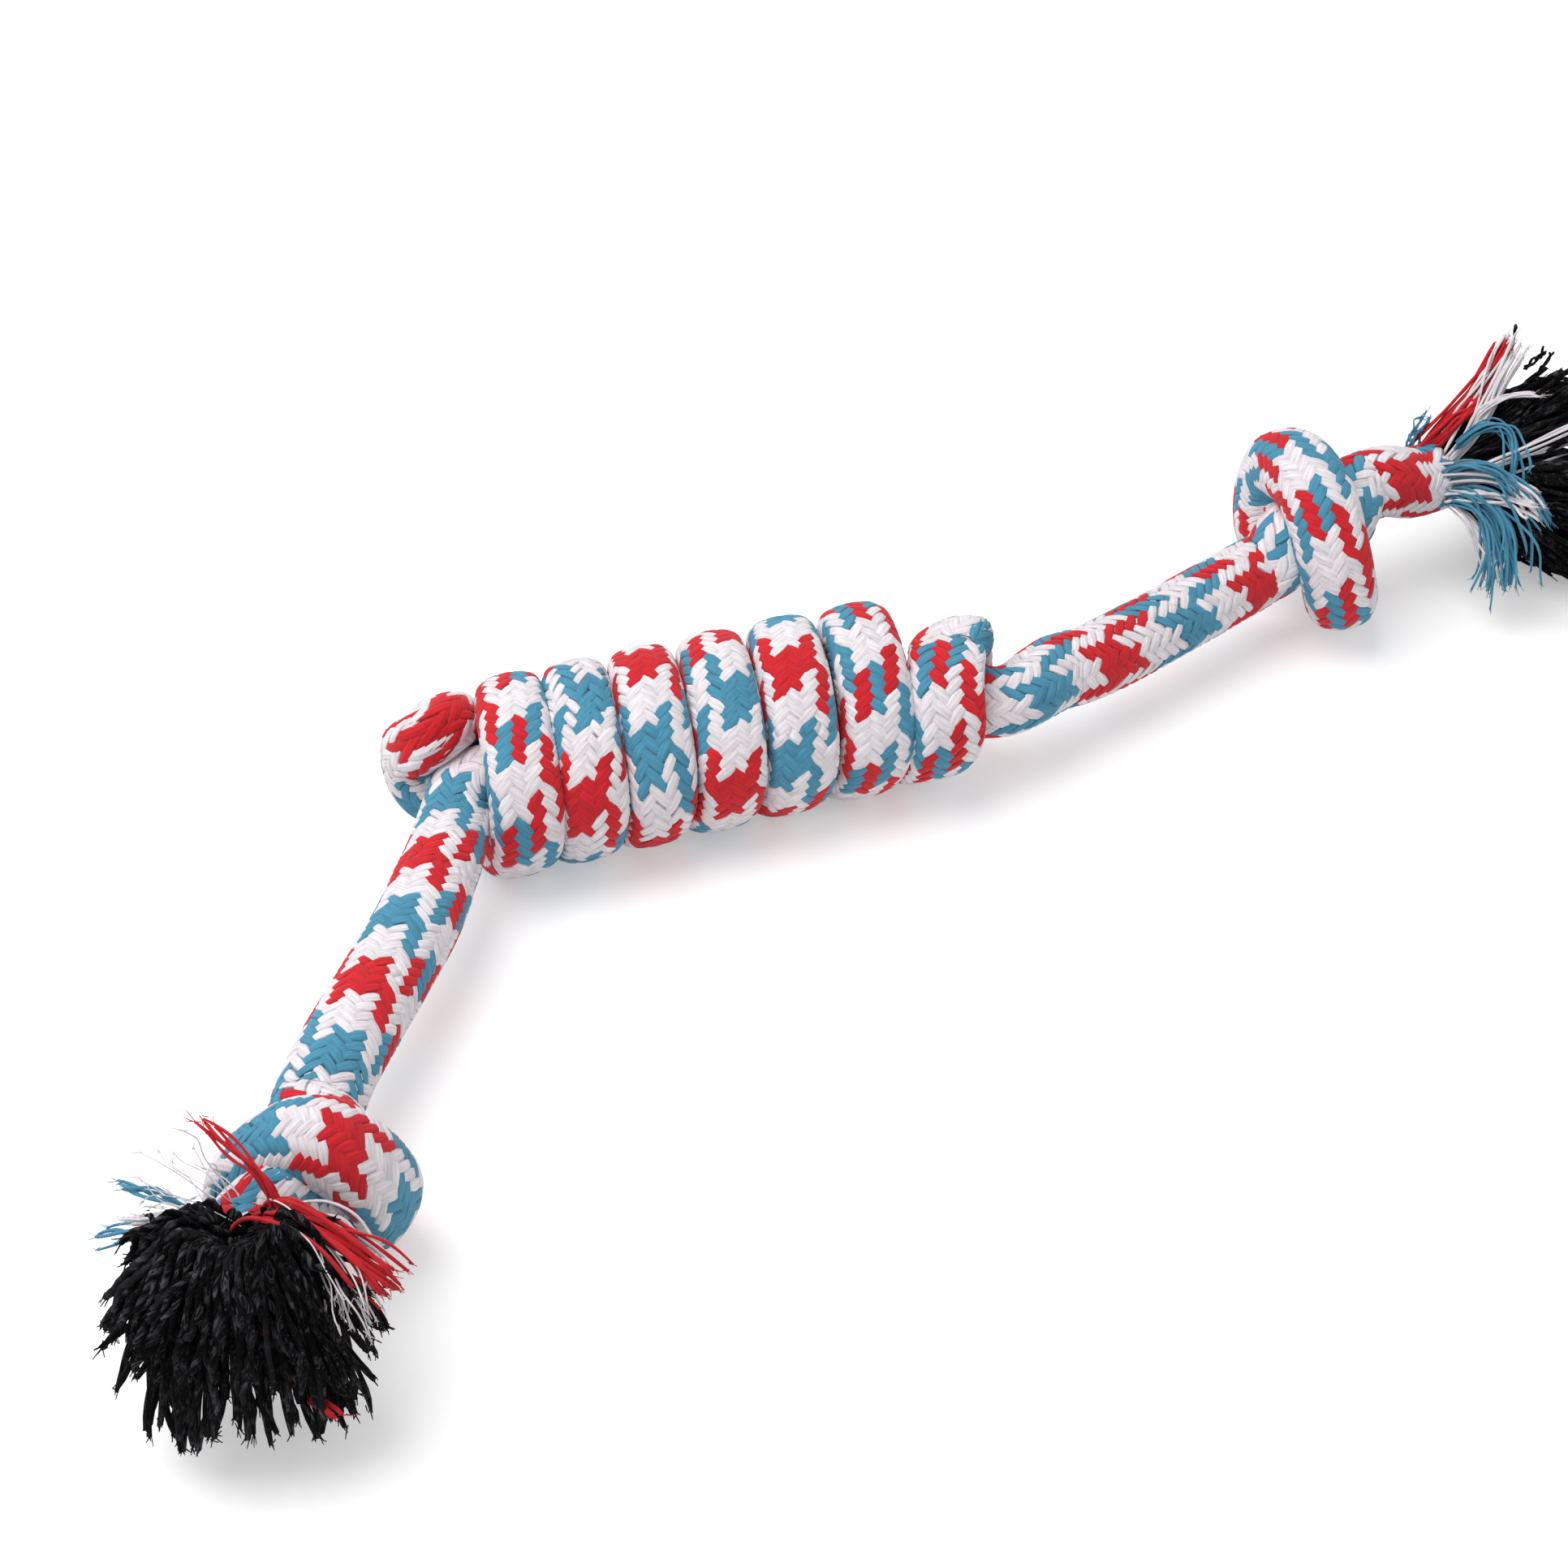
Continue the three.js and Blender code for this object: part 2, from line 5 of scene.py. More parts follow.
import bpy
import numpy as np
from bpy.props import FloatProperty, FloatVectorProperty, IntProperty, PointerProperty
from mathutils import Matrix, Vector


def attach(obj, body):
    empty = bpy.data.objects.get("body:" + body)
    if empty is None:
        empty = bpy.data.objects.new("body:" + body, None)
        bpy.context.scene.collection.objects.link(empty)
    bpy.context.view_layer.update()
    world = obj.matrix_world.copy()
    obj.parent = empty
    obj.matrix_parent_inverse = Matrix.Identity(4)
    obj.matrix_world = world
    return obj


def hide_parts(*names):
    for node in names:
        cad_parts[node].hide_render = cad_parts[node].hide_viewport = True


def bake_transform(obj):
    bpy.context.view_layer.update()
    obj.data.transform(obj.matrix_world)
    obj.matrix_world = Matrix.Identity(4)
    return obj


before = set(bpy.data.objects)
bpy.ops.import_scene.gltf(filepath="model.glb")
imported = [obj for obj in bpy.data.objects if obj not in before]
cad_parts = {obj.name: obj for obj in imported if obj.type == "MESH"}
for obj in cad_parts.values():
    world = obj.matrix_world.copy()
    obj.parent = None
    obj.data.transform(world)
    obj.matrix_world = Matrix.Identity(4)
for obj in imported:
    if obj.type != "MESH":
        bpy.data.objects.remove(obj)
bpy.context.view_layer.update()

bl_info = {
    "name": "Braided Rope Toy",
    "version": (1, 0, 0),
    "blender": (4, 5, 0),
    "location": "3D View > Sidebar > Rope Toy",
    "description": "Braids the rope, the knots and the tassels of a cotton rope toy",
    "category": "Object",
}

MM = 0.001

# The rope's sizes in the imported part
ROPE = 14 * MM
CORE = 9.4 * MM
STRAND_GAP = 0.7 * MM
SEAT_GAP = 0.3 * MM
BORE_GAP = 0.4 * MM
PRESS = 0.1 * ROPE
PINCH_SHARE = 0.86
FACET_SHARE = math.cos(math.radians(7.5))

# The handle, a barrel knot
HANDLE = 36.4 * MM
WRAPS = 7
WRAP_THICKNESS = 10.6 * MM
WRAP_PITCH = 13 * MM
FIRST_THINNING = 4.8 * MM
UNDERSIDE_THINNING = 1.6 * MM
WHOLE_TURNS = 360 * (WRAPS - 1)
FIRST_ANGLE = -15
LAST_ANGLE = 290 + WHOLE_TURNS
MIDDLE_ANGLE = 180 + WHOLE_TURNS / 2
ANGLE_STEP = 15
UNDERSIDE_ANGLE = 150
UNDERSIDE_REACH = (0.2, 1)
WRAP_RADIUS = HANDLE / 2 - WRAP_THICKNESS / 2
HANDLE_BORE = (WRAP_RADIUS - WRAP_THICKNESS / 2) * FACET_SHARE - BORE_GAP
HANDLE_HEIGHT = HANDLE / 2 - PRESS
HANDLE_SQUARENESS = 0.5

# The two strands in the handle's bore, which turn about each other from the left mouth on
MOUTH_ANGLE = 50
MOUTH_DEPTH = 0.12 * ROPE
STRAND_TWIST = 165
TWIST_START = 0.17
TWIST_LENGTH = 0.61
BORE_STEPS = 18

# The end knots, in rope diameters along their axis unless a unit is given: where a turn counts
# as outer by its share of the radius, and where a knot leans, is squeezed and turns aside
KNOT_THICKNESS = 11.2 * MM
KNOT_SQUARENESS = 0.2
KNOT_OUTER = (0.4, 0.9)
KNOT_LEAN = (0.45, 1.1)
KNOT_SQUEEZE = (0.9, 1.25)
KNOT_TURN = 1.1

# The straight start of a free stretch at the face that it leaves, and a tail's straight end
STRAIGHT = 0.6 * ROPE
TAIL_END_SHARE = 0.3

# The least radius that a tight bend leaves inside it, and the least height over the floor
LEAST_INSIDE = 0.2 * MM
FLOOR_CLEARANCE = 0.5 * MM


# The rope's route

def on_axis(along, radius, angle):
    turned = math.radians(angle)
    return np.array((along, -radius * math.sin(turned), radius * math.cos(turned)))


def about_z(degrees):
    c, s = math.cos(math.radians(degrees)), math.sin(math.radians(degrees))
    return np.array(((c, -s, 0), (s, c, 0), (0, 0, 1)))


def about_y(degrees):
    c, s = math.cos(math.radians(degrees)), math.sin(math.radians(degrees))
    return np.array(((c, 0, s), (0, 1, 0), (-s, 0, c)))


def eased(value, low, high):
    share = np.clip((value - low) / (high - low), 0, 1)
    return share * share * (3 - 2 * share)


def unit(vectors):
    return vectors / np.linalg.norm(vectors, axis=-1, keepdims=True)


class Station:
    """A place on the rope's middle line, with the size of its section there. The section
    goes from an oval to a half round that lies against the other strand."""

    def __init__(self, place, outward=None, depth=ROPE / 2, width=ROPE / 2, half=0.0,
                 bore=HANDLE_BORE, square=0.0):
        self.place = place
        self.outward = outward
        self.depth = depth
        self.width = width
        self.half = half
        self.bore = bore
        self.square = square
        self.squeeze = 0.0
        self.onward = None

    def moved(self, turn, shift):
        self.place = turn @ self.place + shift
        if self.outward is not None:
            self.outward = turn @ self.outward
        if self.onward is not None:
            self.onward = turn @ self.onward


def key_station(key, hand, height, bore, square=0.0):
    along, radius, angle, depth, width, half = key
    place = on_axis(along, radius, angle * hand) + np.array((0, 0, height))
    outward = on_axis(0, 1, angle * hand)
    return Station(place, outward, depth, width, half, bore, square)


# Rows of a bend, in rope diameters, counted from where a strand runs in the middle of its knot:
# along, out from there, turn in degrees, half depth, half width, and press to a half round
START_BEND = (
    (-1.37, 0.00, 0, 0.25, 0.40, 1.0),
    (-1.00, 0.00, 0, 0.25, 0.40, 1.0),
    (-0.60, 0.00, 0, 0.25, 0.40, 1.0),
    (-0.37, 0.00, 0, 0.28, 0.38, 1.0),
    (-0.15, 0.05, 4, 0.29, 0.37, 0.7),
    (0.01, 0.12, 16, 0.30, 0.37, 0.4),
    (0.10, 0.18, 36, 0.34, 0.37, 0.1),
    (0.13, 0.30, 55, 0.36, 0.38, 0),
    (0.11, 0.45, 72, 0.33, 0.39, 0),
    (0.05, 0.53, 89, 0.29, 0.41, 0),
)
END_LOOP = (
    (0.07, 0.62, 76, 0.37, 0.42, 0),
    (0.18, 0.57, 94, 0.37, 0.40, 0),
    (0.34, 0.50, 104, 0.37, 0.38, 0),
    (0.48, 0.42, 98, 0.38, 0.37, 0),
    (0.57, 0.36, 80, 0.38, 0.37, 0),
    (0.59, 0.28, 56, 0.37, 0.37, 0),
    (0.55, 0.19, 34, 0.36, 0.36, 0.1),
    (0.42, 0.10, 16, 0.34, 0.36, 0.3),
    (0.20, 0.03, 5, 0.30, 0.38, 0.7),
    (-0.05, 0.00, 0, 0.26, 0.40, 1.0),
    (-0.40, 0.00, 0, 0.25, 0.40, 1.0),
    (-0.80, 0.00, 0, 0.25, 0.40, 1.0),
    (-1.05, 0.00, 0, 0.25, 0.40, 1.0),
)


def bend_keys(rows, end, side, angle):
    return [
        (end + side * along * ROPE, HANDLE_BORE / 2 + radius * ROPE, angle + turn,
         depth * ROPE, width * ROPE, half)
        for along, radius, turn, depth, width, half in rows
    ]


def wrap_place(angle):
    return (MIDDLE_ANGLE - angle) / 360 * WRAP_PITCH


RIGHT_BEND = wrap_place(FIRST_ANGLE)
LEFT_BEND = wrap_place(LAST_ANGLE)

# How the seven turns really lie: angle in degrees, then shift along the handle and width in mm
WRAP_SLIDES = (
    (FIRST_ANGLE, -3.0, 13.6),
    (50, -4.2, 13.8),
    (410, -3.3, 13.2),
    (770, -4.1, 12.8),
    (1130, -4.0, 12.6),
    (1490, -3.4, 12.3),
    (1850, -2.2, 11.8),
    (2210, -0.6, 12.6),
    (LAST_ANGLE, 0.0, 12.6),
)

# How far a turn leans along the handle, and the angles over which that comes and goes
WRAP_LEAN = 1.2 * MM
LEAN_COMES = (FIRST_ANGLE, 30)
LEAN_GOES = (LAST_ANGLE - 60, LAST_ANGLE)

# How much nearer the viewer the turn at the right end lies, and the places along the handle
# over which that comes and goes
TURN_SHIFT = 5.0 * MM
TURN_SHIFT_COMES = (29 * MM, 41 * MM)
TURN_SHIFT_GOES = (50 * MM, 66 * MM)


def turn_shift(along):
    return TURN_SHIFT * eased(along, *TURN_SHIFT_COMES) * (1 - eased(along, *TURN_SHIFT_GOES))


def winding_stations():
    keys = bend_keys(START_BEND, RIGHT_BEND, 1, MOUTH_ANGLE - STRAND_TWIST)
    angles, slides, widths = np.array(WRAP_SLIDES).T
    for angle in range(FIRST_ANGLE, LAST_ANGLE + 1, ANGLE_STEP):
        thinning = FIRST_THINNING / 2 * max(1 - (angle - FIRST_ANGLE) / 360, 0)
        underside = math.cos(math.radians(angle - UNDERSIDE_ANGLE))
        thinning += UNDERSIDE_THINNING / 2 * eased(underside, *UNDERSIDE_REACH)
        depth = WRAP_THICKNESS / 2 - thinning
        free = eased(angle, *LEAN_COMES) * (1 - eased(angle, *LEAN_GOES))
        lean = WRAP_LEAN * free * math.cos(math.radians(angle))
        along = wrap_place(angle) + np.interp(angle, angles, slides) * MM - lean
        width = np.interp(angle, angles, widths) * MM
        keys.append((along, WRAP_RADIUS - thinning, angle, depth, width / 2, 0))
    keys += bend_keys(END_LOOP, LEFT_BEND, -1, MOUTH_ANGLE + 180 + WHOLE_TURNS)
    return [key_station(key, 1, HANDLE_HEIGHT, HANDLE_BORE, HANDLE_SQUARENESS) for key in keys]


def strand_angle(along):
    share = (along - LEFT_BEND) / (RIGHT_BEND - LEFT_BEND)
    return MOUTH_ANGLE - STRAND_TWIST * min(max((share - TWIST_START) / TWIST_LENGTH, 0), 1)


def bore_stations(start, end, turn):
    step = (RIGHT_BEND - LEFT_BEND) / BORE_STEPS
    inner = [LEFT_BEND + step * count for count in range(1, BORE_STEPS)]
    places = [start] + [p for p in inner if start + step / 2 < p < end - step / 2] + [end]
    return [
        key_station((along, HANDLE_BORE / 2, strand_angle(along) + turn, HANDLE_BORE / 2,
                     HANDLE_BORE, 1), 1, HANDLE_HEIGHT, HANDLE_BORE)
        for along in places
    ]


# Rows of a bore's mouth in rope diameters: place beside the mouth, outward angle in degrees,
# half depth, half width, and press to a half round
LEFT_MOUTH = (
    (-0.80, -1.45, -0.06, 0, 0.48, 0.48, 0),
    (-0.58, -1.08, -0.02, 6, 0.47, 0.47, 0),
    (-0.42, -0.74, 0.04, 20, 0.43, 0.44, 0.1),
    (-0.24, -0.45, 0.12, 36, 0.36, 0.40, 0.4),
    (-0.06, -0.26, 0.17, 48, 0.30, 0.40, 0.8),
)
RIGHT_MOUTH = (
    (0.05, -0.23, 0.10, 62, 0.30, 0.40, 0.9),
    (0.30, -0.28, 0.09, 50, 0.36, 0.42, 0.5),
    (0.60, -0.30, 0.06, 28, 0.44, 0.45, 0.1),
    (1.00, -0.27, 0.02, 8, 0.48, 0.48, 0),
    (1.30, -0.20, -0.02, 0, 0.49, 0.49, 0),
)


def mouth_stations(rows, end):
    return [
        Station(np.array((end + x * ROPE, y * ROPE, HANDLE_HEIGHT + z * ROPE)),
                on_axis(0, 1, angle), depth * ROPE, width * ROPE, half)
        for x, y, z, angle, depth, width, half in rows
    ]


# Half of an end knot: along its axis in rope diameters, out from it as a share of the turn's
# radius, angle in degrees, half depth, half width and press
KNOT_ROWS = [
    (-1.38, 0.00, 34, 0.49, 0.49, 0),
    (-1.22, 0.05, 34, 0.48, 0.49, 0),
    (-1.00, 0.17, 32, 0.46, 0.48, 0),
    (-0.77, 0.29, 26, 0.42, 0.47, 0.2),
    (-0.52, 0.34, 12, 0.36, 0.46, 0.5),
    (-0.28, 0.31, -12, 0.30, 0.46, 0.8),
    (-0.06, 0.29, -42, 0.28, 0.46, 0.9),
    (0.16, 0.30, -74, 0.30, 0.44, 0.8),
    (0.38, 0.34, -100, 0.34, 0.42, 0.5),
    (0.57, 0.42, -117, 0.37, 0.40, 0.2),
    (0.70, 0.54, -122, 0.39, 0.40, 0),
    (0.77, 0.68, -116, 0.40, 0.41, 0),
    (0.77, 0.80, -102, 0.40, 0.42, 0),
    (0.73, 0.90, -84, 0.40, 0.43, 0),
    (0.66, 0.96, -65, 0.40, 0.44, 0),
    (0.56, 1.00, -46, 0.40, 0.44, 0),
    (0.44, 1.00, -29, 0.40, 0.44, 0),
    (0.32, 1.00, -13, 0.40, 0.44, 0),
    (0.20, 1.00, 3, 0.40, 0.44, 0),
    (0.08, 1.00, 19, 0.40, 0.44, 0),
    (0.00, 1.00, 34, 0.40, 0.44, 0),
]
KNOT_MIDDLE = KNOT_ROWS[-1][2]


class EndKnot:
    """An overhand knot: where it lies, how it is turned, and the tail that leaves it. Its place,
    leans and lifts are in rope diameters. leans, lifts and turns are for its two ends."""

    def __init__(self, place, heading, diameter, roll, pitch, length_share, squeeze, leans,
                 lifts, turns, rows_cut, tail_length, tail_drop, tail_turn, swell, widening):
        self.shift = np.array((place[0] * ROPE, place[1] * ROPE, 0))
        self.turn = about_z(heading)
        self.heading = heading
        self.diameter = diameter
        self.roll = roll
        self.pitch = pitch
        self.length_share = length_share
        self.squeeze = squeeze
        self.leans = leans
        self.lifts = lifts
        self.turns = turns
        self.rows_cut = rows_cut
        self.tail_length = tail_length
        self.tail_drop = tail_drop
        self.tail_turn = tail_turn
        self.swell = swell
        self.widening = widening

    def stations(self):
        radius = self.diameter / 2 - KNOT_THICKNESS / 2
        bore = (radius - KNOT_THICKNESS / 2) * FACET_SHARE - BORE_GAP
        turned = [
            (-along, out, 2 * KNOT_MIDDLE - angle, *size)
            for along, out, angle, *size in reversed(KNOT_ROWS[self.rows_cut:-1])
        ]
        stations = []
        for along, out, angle, depth, width, half in KNOT_ROWS + turned:
            outer = eased(out, *KNOT_OUTER)
            swell = self.swell * outer * ROPE
            width *= 1 + (self.widening - 1) * outer
            key = (along * self.length_share * ROPE, out * radius - swell, angle + self.roll,
                   depth * ROPE + swell, width * ROPE, half)
            station = key_station(key, -1, 0, bore, KNOT_SQUARENESS)
            reach = abs(along)
            end = 0 if along < 0 else 1
            beyond = math.copysign(max(reach - KNOT_TURN, 0), along) * self.length_share
            sideways = beyond * math.tan(math.radians(self.turns[end]))
            share = eased(reach, *KNOT_LEAN)
            station.place[1] += (share * self.leans[end] + sideways) * ROPE
            station.place[2] += share * self.lifts[end] * ROPE
            station.squeeze = self.squeeze * (1 - eased(reach, *KNOT_SQUEEZE))
            if reach >= 1:
                station.onward = about_z(self.turns[end]) @ np.array((1.0, 0, 0))
            station.moved(about_y(-self.pitch), np.array((0, 0, self.diameter / 2 - PRESS)))
            stations.append(station)
        return stations

    def tail_points(self, stations):
        start, straight = off_face(stations[-1], stations[-2])
        onward = about_z(self.tail_turn) @ np.array((1.0, 0, 0))
        throat = start + onward * self.tail_length - np.array((0, 0, self.tail_drop))
        before = throat - onward * self.tail_length * TAIL_END_SHARE
        share = min(self.tail_length * TAIL_END_SHARE / STRAIGHT, 1)
        return [start, start + (straight - start) * share, before, throat]


def off_face(station, neighbour):
    """Two points in front of a station that ends a knot or the handle, straight on from it."""
    away = unit(station.place - neighbour.place)
    if station.onward is not None:
        sign = -1 if (neighbour.place - station.place) @ station.onward > 0 else 1
        away = station.onward * sign
    return [station.place + away * reach for reach in (SEAT_GAP, STRAIGHT)]


LEFT_KNOT = EndKnot(
    place=(-6.0, -5.7), heading=-133, diameter=38 * MM, roll=0, pitch=0, length_share=0.72,
    squeeze=0.36, leans=(-0.66, -0.1), lifts=(-0.2, 0.5), turns=(16, 22), rows_cut=0,
    tail_length=3 * MM, tail_drop=0, tail_turn=22, swell=0.03, widening=1.06)
RIGHT_KNOT = EndKnot(
    place=(9.14, 1.35), heading=-17, diameter=41 * MM, roll=-84, pitch=2, length_share=0.62,
    squeeze=0, leans=(-0.5, 0.5), lifts=(-0.2, 0.3), turns=(37, 22), rows_cut=1,
    tail_length=17.6 * MM, tail_drop=2 * MM, tail_turn=22, swell=0.1, widening=1.14)


def smooth_line(points, steps):
    """A centripetal curve through the points, with the number of its sample at each point."""
    ends = [2 * points[0] - points[1], *points, 2 * points[-1] - points[-2]]
    line = []
    share = (np.arange(steps) / steps)[:, None]
    for p0, p1, p2, p3 in zip(ends, ends[1:], ends[2:], ends[3:]):
        a, b, c = (math.sqrt(np.linalg.norm(q - p)) for p, q in ((p0, p1), (p1, p2), (p2, p3)))
        first = ((p1 - p0) / a - (p2 - p0) / (a + b) + (p2 - p1) / b) * b
        second = ((p2 - p1) / b - (p3 - p1) / (b + c) + (p3 - p2) / c) * b
        cubic = 2 * p1 - 2 * p2 + first + second
        square = -3 * p1 + 3 * p2 - 2 * first - second
        line.append(cubic * share ** 3 + square * share ** 2 + first * share + p1)
    return np.concatenate(line + [points[-1][None]])


def softened(values, count):
    """A running mean, twice over, that keeps the two ends."""
    kernel = np.ones(count) / count
    for _ in range(2):
        padded = np.concatenate([np.repeat(values[:1], count, 0), values,
                                 np.repeat(values[-1:], count, 0)])
        columns = padded.reshape(len(padded), -1)
        mean = np.stack([np.convolve(c, kernel, "same") for c in columns.T], 1)
        values = mean[count:-count].reshape(values.shape)
    return values


class Route:
    """The whole rope's middle line at small even steps, with a frame that doesn't twist, the
    size of the section and the tightness of the bend at each step."""

    STEP = 0.25 * MM
    SAMPLES = 24
    TANGENT_MEAN = 5
    BEND_MEAN = 15
    SIZE_MEAN = 7
    OUTWARD_MEAN = 9

    def __init__(self, sections):
        stations = [station for _, members in sections for station in members]
        points = [s.place - (0, turn_shift(s.place[0]), 0) for s in stations]
        line = smooth_line(points, self.SAMPLES)
        reach = np.concatenate([[0], np.cumsum(np.linalg.norm(np.diff(line, axis=0), axis=1))])
        marks = reach[::self.SAMPLES]
        self.length = reach[-1]
        self.reach = np.arange(0, self.length, self.STEP)
        self.place = np.stack([np.interp(self.reach, reach, c) for c in line.T], 1)
        slope = np.gradient(self.place, self.STEP, axis=0)
        self.tangent = unit(softened(slope, self.TANGENT_MEAN))
        bend = softened(np.gradient(self.tangent, self.STEP, axis=0), self.BEND_MEAN)
        curvature = np.maximum(np.linalg.norm(bend, axis=1), 1)
        self.inside = bend / curvature[:, None]
        self.limit = PINCH_SHARE / curvature
        self.normal = self.untwisted()
        self.side = np.cross(self.tangent, self.normal)
        self.outward = self.turned(stations, marks)
        sizes = [[s.depth, s.width, s.half, s.bore, s.squeeze, s.square] for s in stations]
        sizes = np.stack([np.interp(self.reach, marks, c) for c in np.array(sizes).T], 1)
        self.sizes = softened(sizes, self.SIZE_MEAN)
        self.spans = {}
        first = 0
        for name, members in sections:
            last = first + len(members) - 1
            start = 0 if first == 0 else (marks[first - 1] + marks[first]) / 2
            end = self.length if last == len(stations) - 1 else (marks[last] + marks[last + 1]) / 2
            self.spans[name] = (start, end)
            first = last + 1

    def untwisted(self):
        normals = np.empty_like(self.place)
        normal = np.array((0.0, 0, 1))
        for count, tangent in enumerate(self.tangent):
            normal = normal - tangent * (normal @ tangent)
            normal /= np.linalg.norm(normal)
            normals[count] = normal
        return normals

    def turned(self, stations, marks):
        """The angle of the section's outward direction in the frame that doesn't twist."""
        places, angles = [], []
        for station, mark in zip(stations, marks):
            if station.outward is None:
                continue
            at = min(int(round(mark / self.STEP)), len(self.reach) - 1)
            places.append(mark)
            angles.append(math.atan2(station.outward @ self.side[at],
                                     station.outward @ self.normal[at]))
        angles = np.interp(self.reach, places, np.unwrap(angles))
        return softened(angles, self.OUTWARD_MEAN)

    def place_at(self, reach):
        return tuple(self.place[min(int(reach / self.STEP), len(self.place) - 1)])

    def surface(self, reach, turn, under):
        """Points at a distance under the rope's surface, at an angle round the rope."""
        steps = np.clip(reach / self.STEP, 0, len(self.reach) - 2)
        low = steps.astype(int)
        share = (steps - low)[..., None]

        def at(channel):
            values = channel if channel.ndim > 1 else channel[:, None]
            return values[low] * (1 - share) + values[low + 1] * share

        place, tangent = at(self.place), at(self.tangent)
        beyond = reach - np.clip(reach, 0, self.reach[-2])
        place = place + tangent * beyond[..., None]
        outward = at(self.outward)[..., 0]
        depth, width, half, bore, squeeze, square = np.moveaxis(at(self.sizes), -1, 0)
        angle = turn - outward
        out, across = np.cos(angle), np.sin(angle)
        flat = np.maximum((bore - under) * out, STRAND_GAP / 2 + under) - bore / 2
        fuller = (np.abs(out) ** 4 + np.abs(across) ** 4) ** -0.25
        fuller = 1 + (fuller - 1) * square
        oval_out, oval_across = (depth - under) * out * fuller, (width - under) * across * fuller
        radial = oval_out + (flat - oval_out) * half
        lateral = oval_across + ((bore - under) * across - oval_across) * half
        normal, side = at(self.normal), at(self.side)
        cosine, sine = np.cos(outward)[..., None], np.sin(outward)[..., None]
        towards = normal * cosine + side * sine
        beside = side * cosine - normal * sine
        offset = towards * radial[..., None] + beside * lateral[..., None]
        inside = at(self.inside)
        limit = np.maximum(at(self.limit)[..., 0] - under, LEAST_INSIDE)
        excess = (offset * inside).sum(-1) - limit
        offset = offset - inside * np.maximum(excess, 0)[..., None]
        return above_floor(narrowed(place + offset, squeeze), under)


def narrowed(points, squeeze):
    """Points of the left knot, pressed together across it."""
    across = LEFT_KNOT.turn[:, 1]
    from_middle = (points - LEFT_KNOT.shift) @ across
    return points - across * (from_middle * squeeze)[..., None]


def above_floor(points, under):
    """Points that stay over the floor, with the rope pressed flatter where it lies on it."""
    least = FLOOR_CLEARANCE + under / 2
    height = points[..., 2]
    low_height = least * np.exp(np.minimum((height - least) / least, 0))
    points[..., 2] = np.where(height < least, low_height, height)
    return points


def placed(points, knot):
    return [knot.turn @ point + knot.shift for point in points]


def rope_sections():
    """The stretches of the rope from the left end to the right, each with its stations."""
    left, right = LEFT_KNOT.stations(), RIGHT_KNOT.stations()
    left_tail = placed(LEFT_KNOT.tail_points(left), LEFT_KNOT)
    right_tail = placed(RIGHT_KNOT.tail_points(right), RIGHT_KNOT)
    for knot, stations in ((LEFT_KNOT, left), (RIGHT_KNOT, right)):
        for station in stations:
            station.moved(knot.turn, knot.shift)
    entry_end = RIGHT_BEND + START_BEND[0][0] * ROPE - SEAT_GAP
    entry = mouth_stations(LEFT_MOUTH, LEFT_BEND)
    entry += bore_stations(LEFT_BEND + MOUTH_DEPTH, entry_end, 0)
    exit_start = LEFT_BEND - END_LOOP[-1][0] * ROPE + SEAT_GAP
    leaving = bore_stations(exit_start, RIGHT_BEND - MOUTH_DEPTH, 180)
    leaving += mouth_stations(RIGHT_MOUTH, RIGHT_BEND)
    left_span = off_face(entry[0], entry[1]) + off_face(left[0], left[1])[::-1]
    right_span = off_face(leaving[-1], leaving[-2]) + off_face(right[0], right[1])[::-1]

    def plain(points):
        return [Station(point) for point in points]

    return [
        ("left_tail", plain(left_tail[::-1])),
        ("left_knot", left[::-1]),
        ("left_span", plain(left_span[::-1])),
        ("entry", entry),
        ("winding", winding_stations()),
        ("exit", leaving),
        ("right_span", plain(right_span)),
        ("right_knot", right),
        ("right_tail", plain(right_tail)),
    ]


route = Route(rope_sections())


# Meshes

def new_piece(name, points, quads, layers, places, material):
    """A mesh object from quads, with number layers on its points and its own picture layout."""
    mesh = bpy.data.meshes.new(name)
    mesh.vertices.add(len(points))
    mesh.vertices.foreach_set("co", np.asarray(points, np.float32).ravel())
    mesh.loops.add(quads.size)
    mesh.loops.foreach_set("vertex_index", quads.astype(np.int32).ravel())
    mesh.polygons.add(len(quads))
    mesh.polygons.foreach_set("loop_start", np.arange(0, quads.size, 4, dtype=np.int32))
    mesh.polygons.foreach_set("use_smooth", np.ones(len(quads), bool))
    mesh.update(calc_edges=True)
    for layer, values in layers.items():
        attribute = mesh.attributes.new(layer, "FLOAT", "POINT")
        attribute.data.foreach_set("value", np.asarray(values, np.float32).ravel())
    layout = mesh.uv_layers.new(name="OFBake")
    layout.uv.foreach_set("vector", np.asarray(places, np.float32).ravel())
    mesh.materials.append(material)
    piece = bpy.data.objects.new(name, mesh)
    bpy.context.scene.collection.objects.link(piece)
    return piece


